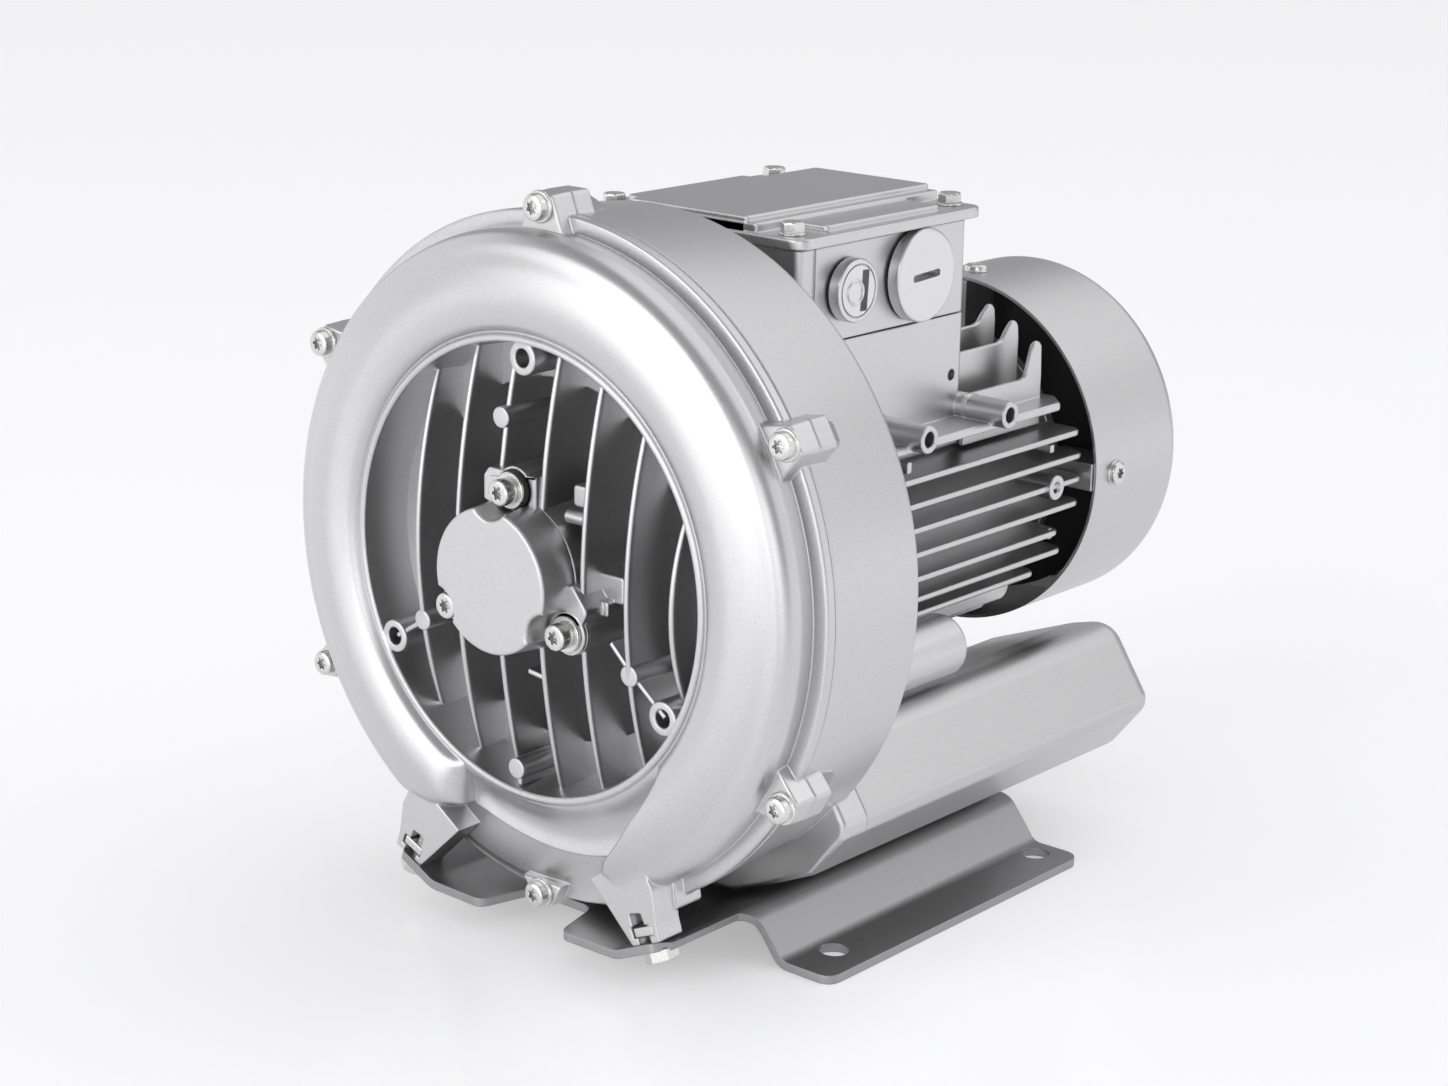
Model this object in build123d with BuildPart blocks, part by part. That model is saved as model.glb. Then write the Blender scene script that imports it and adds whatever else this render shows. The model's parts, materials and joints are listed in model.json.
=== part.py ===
from build123d import *
from math import atan2, cos, degrees, hypot, radians, sin, sqrt, tan
import os

os.makedirs("parts", exist_ok=True)

# Side channel blower. Frame: X right seen from the front, Y back towards the motor, Z up.
# Origin: centre of the base bolt pattern on the floor. Depths are measured backwards
# from the plane of the cover screw heads, heights and radii from the shaft axis.
AXIS_Z = 128.0
FRONT_Y = -114.0

# Casing
PARTING = 13.0
RIM_R = 114.0
REAR_R = 111.0
BAND_END = 58.0
HOUSING_END = 62.0
RING_R = 74.0
CUP_FLOOR = 36.0
CUP_BACK = 40.0
LUG_R = 116.0
LOW_LUG_R = 112.0
LUG_FRONT = 4.3
LUG_ANGLES = (90.0, 30.0, 150.0, -28.4, 208.4)
SCREW_CORE_R = 2.6
FIN_PITCH = 18.5
FIN_T = 2.0
BOSS_R = 69.4
THIRDS = (90.0, 210.0, 330.0)

# Hub and shaft
HUB_FACE = -6.0
HUB_SCREW_R = 28.0
SHAFT_R = 7.5
BEARING_R = 17.5
BEARING_W = 11.0
FRONT_SEAT = 1.0
REAR_SEAT = 209.0
RUN_GAP = 0.5

# Impeller
WHEEL_R = 106.0
VANE_R = 85.0
VANE_COUNT = 40
VANE_FRONT = 22.0
WHEEL_FRONT = 42.0
WHEEL_BACK = 47.0

# Motor
MOTOR_START = 62.0
MOTOR_END = 222.0
SHELL_R = 47.0
BORE_R = 40.0
FIN_X = 62.0
FIN_STEP = 8.75
STATOR = (92.0, 172.0)
ROTOR_R = 22.0
COWL_R = 65.5
COWL = (223.0, 278.5)
COWL_T = 1.2

# Terminal box
BOX_X = 45.0
BOX_Y = (76.0, 166.5)
BOX_Z = (66.5, 98.5)
LID_X = 49.0
LID_Y = (72.0, 171.0)
LID_SCREWS = ((39.0, 79.5), (39.0, 163.5), (-39.0, 79.5), (-39.0, 163.5))
LARGE_PLUG = (137.0, 83.5)
SMALL_PLUG = (100.5, 83.3)

# Silencers and base
SILENCER = (62.0, 228.0)
PORT_AT = (50.0, -85.0)
DUCT_AT = (46.0, -84.0)
DUCT_R = 11.0
PORT_R = 19.0
SHEET = 3.0
SLOPE_FOOT = (42.0, 11.0)
SLOPE_TOP = (69.5, 23.0)
PLATE_BACK = 64.0
HOLE_AT = (82.0, 57.0)
HOLE_R = 5.0

SHAFT_AXIS = Axis((0, FRONT_Y, AXIS_Z), (0, 1, 0))
MERIDIAN = Plane(origin=(0, FRONT_Y, AXIS_Z), x_dir=(1, 0, 0), z_dir=(0, 0, 1))


def station(y):
    """Plane across the shaft at depth y, looking forward; extrude by minus runs backwards."""
    return Plane(origin=(0, FRONT_Y + y, AXIS_Z), x_dir=(1, 0, 0), z_dir=(0, -1, 0))


def side(x):
    """Plane facing +X at x, with depth across and height above the shaft up."""
    return Plane(origin=(x, FRONT_Y, AXIS_Z), x_dir=(0, 1, 0), z_dir=(1, 0, 0))


def level(z):
    """Plane facing up at height z above the shaft."""
    return Plane(origin=(0, FRONT_Y, AXIS_Z + z), x_dir=(1, 0, 0), z_dir=(0, 0, 1))


def polar(radius, angle):
    """Point across the shaft at a radius and angle."""
    return (radius * cos(radians(angle)), radius * sin(radians(angle)))


def outline(plane, points, radius=0.0):
    """Closed straight-sided face on a plane, its corners rounded."""
    with BuildSketch(plane) as face:
        with BuildLine():
            Polyline(*points, close=True)
        make_face()
        if radius:
            fillet(face.vertices(), radius)
    return face.sketch


def ring_section(points):
    """Closed half section, given as radius and depth."""
    return outline(MERIDIAN, points)


def turned(points):
    """Solid of revolution about the shaft."""
    return revolve(ring_section(points), axis=SHAFT_AXIS, mode=Mode.PRIVATE)


def block(plane, points, depth, radius=0.0):
    """Straight prism from a plane towards the back or along its normal."""
    return extrude(outline(plane, points, radius), amount=depth, mode=Mode.PRIVATE)


def box_points(x0, x1, z0, z1):
    """Four corners of an upright rectangle."""
    return [(x0, z0), (x1, z0), (x1, z1), (x0, z1)]


def round_bar(centre, radius, y0, y1):
    """Cylinder parallel with the shaft."""
    with BuildSketch(station(y0)) as face:
        with Locations(centre):
            Circle(radius)
    return extrude(face.sketch, amount=-(y1 - y0), mode=Mode.PRIVATE)


def upright_bar(centre, radius, z0, z1):
    """Cylinder standing at a point given as x and depth."""
    with BuildSketch(level(z0)) as face:
        with Locations(centre):
            Circle(radius)
    return extrude(face.sketch, amount=z1 - z0, mode=Mode.PRIVATE)


def cross_bar(centre, radius, x0, x1):
    """Cylinder along X at a point given as depth and height."""
    with BuildSketch(side(x0)) as face:
        with Locations(centre):
            Circle(radius)
    return extrude(face.sketch, amount=x1 - x0, mode=Mode.PRIVATE)


def radial_lug(angle, radius, y0, y1, inner=108.0, reach=4.3):
    """Tapered lug around a cover screw, standing out of the rim."""
    out, base = 4.8, 10.5
    far = radius + reach
    points = [(inner, -base), (far, -out), (far, out), (inner, base)]
    turn = [
        (p * cos(radians(angle)) - q * sin(radians(angle)), p * sin(radians(angle)) + q * cos(radians(angle)))
        for p, q in points
    ]
    return block(station(y0), turn, -(y1 - y0))


def screw_spots():
    """Centres of the six cover screws."""
    return [polar(LUG_R, angle) for angle in LUG_ANGLES] + [polar(LOW_LUG_R, 270.0)]


def save(name, part):
    """Label a finished sub-part and write it."""
    part.label = name
    export_step(part, f"parts/{name}.step")


# Bottom sector of the cover where the channel is interrupted and the casting steps back.
SECTOR_R = 75.9
SECTOR_LEFT = [(-29.4, -87.7), (-38.5, -91.6), (-51.3, -92.3), (-62.0, -100.0), (-60.0, -114.0)]
SECTOR_RIGHT = [(0.0, -124.0), (44.0, -112.0), (31.7, -94.0), (33.4, -89.4), (45.0, -74.0), (56.0, -58.0)]
SECTOR_TOP = [polar(SECTOR_R, 312.0 - 8.0 * k) for k in range(9)]


# ---------------------------------------------------------------- front cover
def cover_skin():
    """Outer and inner faces of the annular channel casting with its central cup."""
    with BuildSketch(MERIDIAN) as section:
        with BuildLine():
            Polyline((24.0, CUP_FLOOR), (71.5, CUP_FLOOR), (RING_R, -4.3), (76.2, -4.3))
            Line((76.2, -4.3), (77.4, -3.4))
            Spline((77.4, -3.4), (79.4, -6.1), (84.0, -7.6), (90.0, -8.0), (96.5, -6.9), (101.4, -5.0))
            Spline((101.4, -5.0), (105.2, -4.0), (107.6, -1.6), (108.6, 2.0), (108.3, 9.0))
            Polyline((108.3, 9.0), (113.4, 9.0), (RIM_R, 9.6), (RIM_R, PARTING), (107.4, PARTING))
            Polyline((107.4, PARTING), (107.4, 16.0), (105.6, 16.0), (105.6, 2.0))
            Spline((105.6, 2.0), (102.0, -1.8), (95.0, -4.2), (87.0, -3.6), (82.0, 0.0), (80.0, 5.0))
            Polyline((80.0, 5.0), (80.0, 21.0), (76.0, 22.0), (76.0, CUP_BACK))
            Polyline((76.0, CUP_BACK), (24.0, CUP_BACK), (24.0, CUP_FLOOR))
        make_face()
    return section.sketch


def sector_prism(y0, y1):
    """Bottom sector as a prism between two depths."""
    return block(station(y0), SECTOR_LEFT + SECTOR_RIGHT + SECTOR_TOP, -(y1 - y0))


def stepped_floor():
    """Sloping concave face and flat land that close the bottom sector."""
    with BuildSketch(MERIDIAN) as section:
        with BuildLine():
            Line((75.0, -4.3), (76.2, -4.3))
            Line((76.2, -4.3), (78.6, -3.0))
            Spline((78.6, -3.0), (83.0, 1.0), (88.0, 3.2), (93.0, 3.8))
            Polyline((93.0, 3.8), (93.0, 5.2), (105.0, 5.6), (107.5, 6.2), (111.6, 9.0))
            Polyline((111.6, 9.0), (112.2, 9.6), (112.2, PARTING))
            Polyline((112.2, PARTING), (107.4, PARTING), (107.4, 21.0))
            Polyline((107.4, 21.0), (75.0, 21.0), (75.0, -4.3))
        make_face()
    return revolve(section.sketch, axis=SHAFT_AXIS, mode=Mode.PRIVATE)


def cover_fin(x):
    """Upright rib across the cup, its front edge domed."""
    reach = sqrt((RING_R - 1.2) ** 2 - x**2)
    edge = 3.5
    with BuildSketch(side(x - FIN_T / 2)) as face:
        with BuildLine():
            ThreePointArc((edge, reach), (-6.5, 0.0), (edge, -reach))
            Polyline((edge, -reach), (CUP_FLOOR + 1, -reach), (CUP_FLOOR + 1, reach), (edge, reach))
        make_face()
    return extrude(face.sketch, amount=FIN_T, mode=Mode.PRIVATE)


def cup_web(start, end, y0):
    """Thin web between two points on the cup floor."""
    dx, dz = end[0] - start[0], end[1] - start[1]
    size = hypot(dx, dz)
    nx, nz = -dz / size * 0.9, dx / size * 0.9
    points = [
        (start[0] + nx, start[1] + nz),
        (end[0] + nx, end[1] + nz),
        (end[0] - nx, end[1] - nz),
        (start[0] - nx, start[1] - nz),
    ]
    return block(station(y0), points, -(CUP_FLOOR + 1 - y0))


def slope_at(x):
    """Height of the sloping plate face under a foot, above the shaft."""
    rise = (SLOPE_TOP[1] - SLOPE_FOOT[1]) / (SLOPE_TOP[0] - SLOPE_FOOT[0])
    return SLOPE_FOOT[1] + (abs(x) - SLOPE_FOOT[0]) * rise - AXIS_Z


FOOT_FRONT = -4.5
FOOT_BACK = 7.0


def cast_foot(hand):
    """Leg from the bulge down to the sloping base plate."""
    points = [
        (hand * 30.0, -96.0),
        (hand * 49.0, slope_at(49.0)),
        (hand * 60.5, slope_at(60.5)),
        (hand * 58.8, -104.0),
        (hand * 57.0, -93.0),
        (hand * 52.0, -84.0),
        (hand * 42.0, -88.0),
    ]
    return block(station(FOOT_FRONT), points, -(FOOT_BACK - FOOT_FRONT))


SLOPE_ANGLE = degrees(atan2(SLOPE_TOP[1] - SLOPE_FOOT[1], SLOPE_TOP[0] - SLOPE_FOOT[0]))
FOOT_BOLT_X = 54.5
FRONT_BOLT_Y = -113.0
REAR_BOLT_Y = 46.0


def bolt_plane(hand, y, lift=0.0):
    """Plane on the sloping plate face at a foot bolt, its normal along the bolt."""
    up = (-hand * sin(radians(SLOPE_ANGLE)), 0, cos(radians(SLOPE_ANGLE)))
    along = (cos(radians(SLOPE_ANGLE)), 0, hand * sin(radians(SLOPE_ANGLE)))
    spot = (hand * FOOT_BOLT_X + up[0] * lift, y, slope_at(FOOT_BOLT_X) + AXIS_Z + up[2] * lift)
    return Plane(origin=spot, x_dir=along, z_dir=up)


def bolt_bar(hand, y, radius, low, high):
    """Cylinder on a foot bolt's line between two heights off the plate face."""
    with BuildSketch(bolt_plane(hand, y, low)) as face:
        Circle(radius)
    return extrude(face.sketch, amount=high - low, mode=Mode.PRIVATE)


def bolt_box(hand, y, width, depth, low, high):
    """Rectangular pocket on a foot bolt's line."""
    with BuildSketch(bolt_plane(hand, y, low)) as face:
        Rectangle(width, depth)
    return extrude(face.sketch, amount=high - low, mode=Mode.PRIVATE)


NUT_LOW = 2.4
NUT_T = 3.2
POSTS = ((-9.25, 49.0), (-46.25, -26.0), (46.25, -24.0), (-3.0, -67.0))
TOP_LUG = [(-14.5, 24.0), (-14.5, 31.0), (-12.5, 33.8), (9.5, 33.8), (9.5, 20.0), (-10.0, 20.0)]
LOW_LUG = [(14.0, -18.0), (24.4, -21.0), (33.0, -5.5), (26.0, 2.7), (20.9, 0.0)]

with BuildPart() as front_cover:
    revolve(cover_skin(), axis=SHAFT_AXIS)
    add(sector_prism(-20.0, 21.0), mode=Mode.SUBTRACT)
    add(stepped_floor().intersect(sector_prism(-20.0, 21.0)))
    for k in range(-4, 4):
        add(cover_fin((k + 0.5) * FIN_PITCH))
    add(turned([(0.0, HUB_FACE), (24.8, HUB_FACE), (27.0, CUP_BACK), (0.0, CUP_BACK)]))
    for angle in THIRDS:
        add(round_bar(polar(HUB_SCREW_R, angle), 7.4, HUB_FACE, CUP_FLOOR + 1))
        add(round_bar(polar(BOSS_R, angle), 5.6, -4.3, CUP_FLOOR + 1))
    for spot in POSTS:
        add(round_bar(spot, 3.5, -4.4, CUP_FLOOR + 1))
    add(cup_web(POSTS[1], polar(BOSS_R, 210.0), -1.5))
    add(cup_web(POSTS[2], polar(BOSS_R, 330.0), -1.5))
    add(cup_web((37.0, -15.0), POSTS[2], -1.5))
    add(cup_web(POSTS[3], (-3.0, -72.5), -1.5))
    add(cup_web(POSTS[0], polar(BOSS_R, 90.0), 6.0))
    add(cup_web((2.0, -32.5), (9.0, -33.5), -3.5))
    add(block(station(HUB_FACE), TOP_LUG, -(CUP_FLOOR - HUB_FACE + 1)))
    add(block(station(HUB_FACE), LOW_LUG, -(CUP_FLOOR - HUB_FACE + 1)))
    add(block(station(-1.5), box_points(19.5, 28.0, 25.0, 32.0), -38.0))
    add(block(station(2.0), box_points(27.5, 38.0, -4.5, 4.5), -35.0))
    add(block(station(0.0), box_points(23.5, 28.0, 5.5, 8.0), -37.0))
    add(cross_bar((-1.0, 21.5), 2.3, 17.0, 28.0))
    add(round_bar((0.0, 0.0), 25.2, -12.0, HUB_FACE), mode=Mode.SUBTRACT)
    for angle in THIRDS:
        add(round_bar(polar(HUB_SCREW_R, angle), 7.7, -12.0, HUB_FACE), mode=Mode.SUBTRACT)
    for angle in LUG_ANGLES:
        add(radial_lug(angle, LUG_R, LUG_FRONT, PARTING))
    add(radial_lug(270.0, LOW_LUG_R, LUG_FRONT, PARTING, inner=104.0))
    for hand in (1, -1):
        add(cast_foot(hand))
    # The casting ends in front of the parting plane except where it enters the housing.
    with BuildSketch(station(PARTING)):
        Circle(140.0)
        Circle(107.4, mode=Mode.SUBTRACT)
    extrude(amount=-30.0, mode=Mode.SUBTRACT)
    for hand in (1, -1):
        add(bolt_box(hand, FRONT_BOLT_Y, 10.6, 14.0, NUT_LOW, NUT_LOW + NUT_T + 0.6), mode=Mode.SUBTRACT)
        add(bolt_bar(hand, FRONT_BOLT_Y, 3.5, -2.0, 14.0), mode=Mode.SUBTRACT)
    for spot in screw_spots():
        add(round_bar(spot, 3.2, -5.0, PARTING + 2), mode=Mode.SUBTRACT)
    for angle in THIRDS:
        add(round_bar(polar(BOSS_R, angle), 3.0, -6.0, 14.0), mode=Mode.SUBTRACT)
        add(round_bar(polar(HUB_SCREW_R, angle), SCREW_CORE_R, HUB_FACE - 1, 16.0), mode=Mode.SUBTRACT)
    seat_end = FRONT_SEAT + BEARING_W
    bore = [(0.0, -8.0), (BEARING_R, -8.0), (BEARING_R, seat_end), (14.0, seat_end)]
    bore += [(14.0, 20.0), (12.5, 20.0), (12.5, 28.0), (9.5, 28.0), (9.5, 42.0), (0.0, 42.0)]
    add(turned(bore), mode=Mode.SUBTRACT)
save("front_cover", front_cover.part)

# ---------------------------------------------------------------- hub cap
CAP_FRONT = -19.5
CAP_FLANGE = -9.0

with BuildPart() as hub_cap:
    drum = [(0.0, CAP_FRONT), (22.6, CAP_FRONT), (23.1, CAP_FRONT + 0.5)]
    add(turned(drum + [(24.8, HUB_FACE), (0.0, HUB_FACE)]))
    for angle in THIRDS:
        add(round_bar(polar(HUB_SCREW_R, angle), 7.4, CAP_FLANGE, HUB_FACE))
    for angle in THIRDS:
        add(round_bar(polar(HUB_SCREW_R, angle), 7.0, CAP_FRONT - 1, CAP_FLANGE), mode=Mode.SUBTRACT)
        add(round_bar(polar(HUB_SCREW_R, angle), 3.0, CAP_FLANGE - 1, HUB_FACE + 1), mode=Mode.SUBTRACT)
    add(turned([(0.0, -15.0), (13.0, -15.0), (15.5, HUB_FACE + 1), (0.0, HUB_FACE + 1)]), mode=Mode.SUBTRACT)
    spigot = [(15.0, HUB_FACE - 1), (BEARING_R, HUB_FACE - 1)]
    add(turned(spigot + [(BEARING_R, FRONT_SEAT - 0.5), (15.0, FRONT_SEAT - 0.5)]))
save("hub_cap", hub_cap.part)

with BuildPart() as hub_washers:
    for angle in THIRDS:
        spot = polar(HUB_SCREW_R, angle)
        disc = round_bar(spot, 6.0, CAP_FLANGE - 1.4, CAP_FLANGE)
        add(disc - round_bar(spot, 2.75, CAP_FLANGE - 2, CAP_FLANGE + 1))
save("hub_washers", hub_washers.part)

with BuildPart() as hub_screws:
    for angle in THIRDS:
        spot = polar(HUB_SCREW_R, angle)
        head = round_bar(spot, 4.3, CAP_FLANGE - 6.4, CAP_FLANGE - 1.4)
        add(head + round_bar(spot, 2.4, CAP_FLANGE - 1.4, 12.0))
save("hub_screws", hub_screws.part)

with BuildPart() as cover_screws:
    for spot in screw_spots():
        head = round_bar(spot, 4.3, 0.0, 3.2) + round_bar(spot, 5.2, 3.2, LUG_FRONT)
        add(head + round_bar(spot, 2.4, LUG_FRONT, PARTING + 14.0))
save("cover_screws", cover_screws.part)

# ---------------------------------------------------------------- rear housing
SILENCER_POINTS = [
    (58.0, -56.0),
    (70.5, -53.4),
    (76.0, -59.0),
    (90.0, -79.0),
    (89.0, -84.5),
    (75.5, -99.5),
    (68.0, slope_at(68.0)),
    (46.0, slope_at(46.0)),
    (22.0, -115.2),
    (20.0, -112.0),
    (20.0, -73.0),
]


def mirrored(points, hand):
    """Section points for the right (1) or left (-1) side."""
    return [(hand * x, z) for x, z in points]


def housing_lug(angle, radius):
    """Rear half of a cover lug, run out into the band."""
    near = radial_lug(angle, radius, PARTING, PARTING + 9.0, inner=104.0)
    far = radial_lug(angle, radius, PARTING + 9.0, PARTING + 16.0, inner=100.0, reach=0.5)
    return near + far


SEAL_SECTION = [(107.9, PARTING), (109.2, PARTING), (109.2, PARTING + 1.5), (107.9, PARTING + 1.5)]
MOTOR_BOLTS = [polar(40.0, angle) for angle in (45.0, 135.0, 225.0, 315.0)]

with BuildPart() as rear_housing:
    band = [(30.0, BAND_END - 5), (84.0, BAND_END - 5), (84.0, BAND_END - 7), (90.0, BAND_END - 5.5)]
    band += [(100.0, BAND_END - 5.5), (107.0, BAND_END - 8), (107.6, PARTING), (RIM_R, PARTING)]
    add(turned(band + [(REAR_R, BAND_END), (30.0, BAND_END)]))
    for angle in LUG_ANGLES:
        add(housing_lug(angle, LUG_R))
    add(housing_lug(270.0, LOW_LUG_R))
    for hand in (1, -1):
        add(block(station(51.0), mirrored(SILENCER_POINTS, hand), -(HOUSING_END - 51.0), 1.5))
        add(round_bar((hand * 66.0, -41.0), 11.0, 50.0, 132.0))
    add(turned([(28.0, BAND_END - 1), (50.0, BAND_END - 1), (50.0, HOUSING_END), (28.0, HOUSING_END)]))
    # Interrupter between inlet and outlet, behind the stepped part of the cover.
    add(block(station(48.0), [(-14.0, -84.0), (14.0, -84.0), (16.0, -106.5), (-16.0, -106.5)], -6.0))
    cavity = [(0.0, PARTING - 1), (107.6, PARTING - 1), (107.0, BAND_END - 10), (0.0, BAND_END - 10)]
    add(turned(cavity), mode=Mode.SUBTRACT)
    for hand in (1, -1):
        add(round_bar((hand * DUCT_AT[0], DUCT_AT[1]), DUCT_R, 48.0, 70.0), mode=Mode.SUBTRACT)
    for spot in screw_spots():
        add(round_bar(spot, SCREW_CORE_R, PARTING - 1, PARTING + 15.0), mode=Mode.SUBTRACT)
    for spot in MOTOR_BOLTS:
        add(round_bar(spot, 3.4, 50.0, 70.0), mode=Mode.SUBTRACT)
        add(round_bar(spot, 5.4, 50.0, BAND_END), mode=Mode.SUBTRACT)
    add(turned(SEAL_SECTION), mode=Mode.SUBTRACT)
save("rear_housing", rear_housing.part)

with BuildPart() as casing_seal:
    add(turned(SEAL_SECTION))
save("casing_seal", casing_seal.part)

# ---------------------------------------------------------------- impeller and shaft
def vane(angle):
    """One straight radial blade in the wheel rim."""
    points = [(VANE_R - 1, -0.9), (WHEEL_R, -0.9), (WHEEL_R, 0.9), (VANE_R - 1, 0.9)]
    c, s = cos(radians(angle)), sin(radians(angle))
    turn = [(x * c - z * s, x * s + z * c) for x, z in points]
    return block(station(VANE_FRONT), turn, -(WHEEL_BACK - VANE_FRONT))


with BuildPart() as impeller:
    hub = [(SHAFT_R, 41.5), (80.5, 41.5), (81.5, VANE_FRONT), (VANE_R, VANE_FRONT), (VANE_R, 46.0)]
    add(turned(hub + [(20.0, 46.5), (17.0, 60.0), (SHAFT_R, 60.0)]))
    for k in range(VANE_COUNT):
        add(vane(k * 360.0 / VANE_COUNT))
    add(turned([(VANE_R - 0.5, 33.0), (96.0, 34.5), (VANE_R - 0.5, 36.0)]))
    add(block(station(40.0), box_points(-2.5, 2.5, 0.0, SHAFT_R + 2.5), -30.0), mode=Mode.SUBTRACT)
save("impeller", impeller.part)

KEY_Y = (43.0, 59.0)

with BuildPart() as shaft:
    bar = [(0.0, -4.0), (7.0, -4.0), (SHAFT_R, -3.5), (SHAFT_R, 60.0)]
    bar += [(9.0, 60.0), (9.0, 66.0), (11.0, 66.0)]
    bar += [(11.0, 196.0), (9.0, 196.0), (9.0, 204.0), (SHAFT_R, 204.0), (SHAFT_R, 268.0), (0.0, 268.0)]
    add(turned(bar))
    add(block(station(KEY_Y[0]), box_points(-2.5, 2.5, 4.5, 9.0), -(KEY_Y[1] - KEY_Y[0])), mode=Mode.SUBTRACT)
save("shaft", shaft.part)

with BuildPart() as drive_key:
    add(block(station(KEY_Y[0]), box_points(-2.5, 2.5, 4.5, SHAFT_R + 2.0), -(KEY_Y[1] - KEY_Y[0])))
save("drive_key", drive_key.part)

with BuildPart() as impeller_spacer:
    seat_end = FRONT_SEAT + BEARING_W
    add(turned([(SHAFT_R, seat_end), (8.8, seat_end), (8.8, 41.5), (SHAFT_R, 41.5)]))
    add(turned([(0.0, 10.0), (SHAFT_R, 10.0), (SHAFT_R, 42.0), (0.0, 42.0)]), mode=Mode.SUBTRACT)
save("impeller_spacer", impeller_spacer.part)


def bearing_outer(seat):
    """Outer ring with both shields."""
    end = seat + BEARING_W
    shell = [(12.0, seat + 0.5), (15.0, seat + 0.5), (15.0, seat), (BEARING_R, seat)]
    return turned(shell + [(BEARING_R, end), (15.0, end), (15.0, end - 0.5), (12.0, end - 0.5)])


def bearing_inner(seat):
    """Inner ring, sitting on the shaft inside the shields."""
    end = seat + BEARING_W
    ring = [(SHAFT_R, seat), (11.0, seat), (11.5, seat + 0.5), (11.5, end - 0.5), (11.0, end)]
    return turned(ring + [(SHAFT_R, seat + BEARING_W)])


with BuildPart() as front_bearing_outer:
    add(bearing_outer(FRONT_SEAT))
save("front_bearing_outer", front_bearing_outer.part)

with BuildPart() as front_bearing_inner:
    add(bearing_inner(FRONT_SEAT))
save("front_bearing_inner", front_bearing_inner.part)

with BuildPart() as rear_bearing_outer:
    add(bearing_outer(REAR_SEAT))
save("rear_bearing_outer", rear_bearing_outer.part)

with BuildPart() as rear_bearing_inner:
    add(bearing_inner(REAR_SEAT))
save("rear_bearing_inner", rear_bearing_inner.part)

with BuildPart() as wave_spring:
    add(turned([(14.5, REAR_SEAT - 1.5), (17.2, REAR_SEAT - 1.5), (17.2, REAR_SEAT), (14.5, REAR_SEAT)]))
save("wave_spring", wave_spring.part)

with BuildPart() as shaft_seal:
    lips = [(9.4, 20.5), (12.5, 20.5), (12.5, 27.5), (9.4, 27.5)]
    add(turned(lips + [(9.4, 26.0), (11.0, 26.0), (11.0, 22.0), (9.4, 22.0)]))
save("shaft_seal", shaft_seal.part)

with BuildPart() as shaft_nut:
    with BuildSketch(station(-2.5)):
        RegularPolygon(11.0, 6)
        Circle(SHAFT_R, mode=Mode.SUBTRACT)
    extrude(amount=-3.5)
save("shaft_nut", shaft_nut.part)

# ---------------------------------------------------------------- motor
with BuildPart() as rotor_core:
    add(turned([(11.0, STATOR[0]), (ROTOR_R, STATOR[0]), (ROTOR_R, STATOR[1]), (11.0, STATOR[1])]))
    add(turned([(14.0, STATOR[0] - 6), (21.0, STATOR[0] - 6), (21.0, STATOR[0]), (14.0, STATOR[0])]))
    add(turned([(14.0, STATOR[1]), (21.0, STATOR[1]), (21.0, STATOR[1] + 6), (14.0, STATOR[1] + 6)]))
save("rotor_core", rotor_core.part)

with BuildPart() as stator_core:
    gap_r = ROTOR_R + RUN_GAP
    add(turned([(gap_r, STATOR[0]), (BORE_R, STATOR[0]), (BORE_R, STATOR[1]), (gap_r, STATOR[1])]))
save("stator_core", stator_core.part)

with BuildPart() as stator_windings:
    front, rear = STATOR
    add(turned([(25.0, front - 16), (36.0, front - 16), (38.0, front - 8), (38.0, front), (25.0, front)]))
    add(turned([(25.0, rear), (38.0, rear), (38.0, rear + 8), (36.0, rear + 16), (25.0, rear + 16)]))
save("stator_windings", stator_windings.part)

TOWERS = ((121.0, 32.5), (167.0, 33.0))
SIDE_FINS = (17.5, 8.75, 0.0, -8.75, -17.5, -26.25, -33.5)
FIN_ENDS = (219.0, 221.0, 221.0, 220.0, 208.0, 215.0, 204.0)
TOP_FINS = (27.5, 38.0, 48.5)
LOW_FINS = (0.0, 9.0, 18.0, 27.0, 36.0)


def side_fin(hand, z, end):
    """Level fin standing out of the motor side, its rear corner rounded."""
    far = min(FIN_X, sqrt(64.2**2 - z**2))
    with BuildSketch(level(z - 1.1)) as face:
        with BuildLine():
            Polyline((hand * 30.0, MOTOR_START), (hand * far, MOTOR_START), (hand * far, end - 5))
            ThreePointArc((hand * far, end - 5), (hand * (far - 1.5), end - 1.5), (hand * (far - 5), end))
            Polyline((hand * (far - 5), end), (hand * 30.0, end), (hand * 30.0, MOTOR_START))
        make_face()
    return extrude(face.sketch, amount=2.2, mode=Mode.PRIVATE)


def top_fin(x):
    """Upright fin behind the terminal box, ending in a curved horn."""
    low = sqrt(60.0**2 - x**2)
    tip = sqrt(69.0**2 - x**2)
    with BuildSketch(side(x - 1.0)) as face:
        with BuildLine():
            Polyline((BOX_Y[1] - 4, 20.0), (BOX_Y[1] - 4, low), (196.0, low))
            Spline((196.0, low), (202.0, low + 2.0), (206.0, tip - 2.0), (210.0, tip))
            Polyline((210.0, tip), (213.0, tip - 1.0), (215.0, low), (215.0, 20.0), (BOX_Y[1] - 4, 20.0))
        make_face()
    return extrude(face.sketch, amount=2.0, mode=Mode.PRIVATE)


def low_fin(x):
    """Upright fin under the motor."""
    low = -sqrt(60.0**2 - x**2)
    return block(side(x - 1.1), box_points(MOTOR_START, 212.0, low, -20.0), 2.2)


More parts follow.
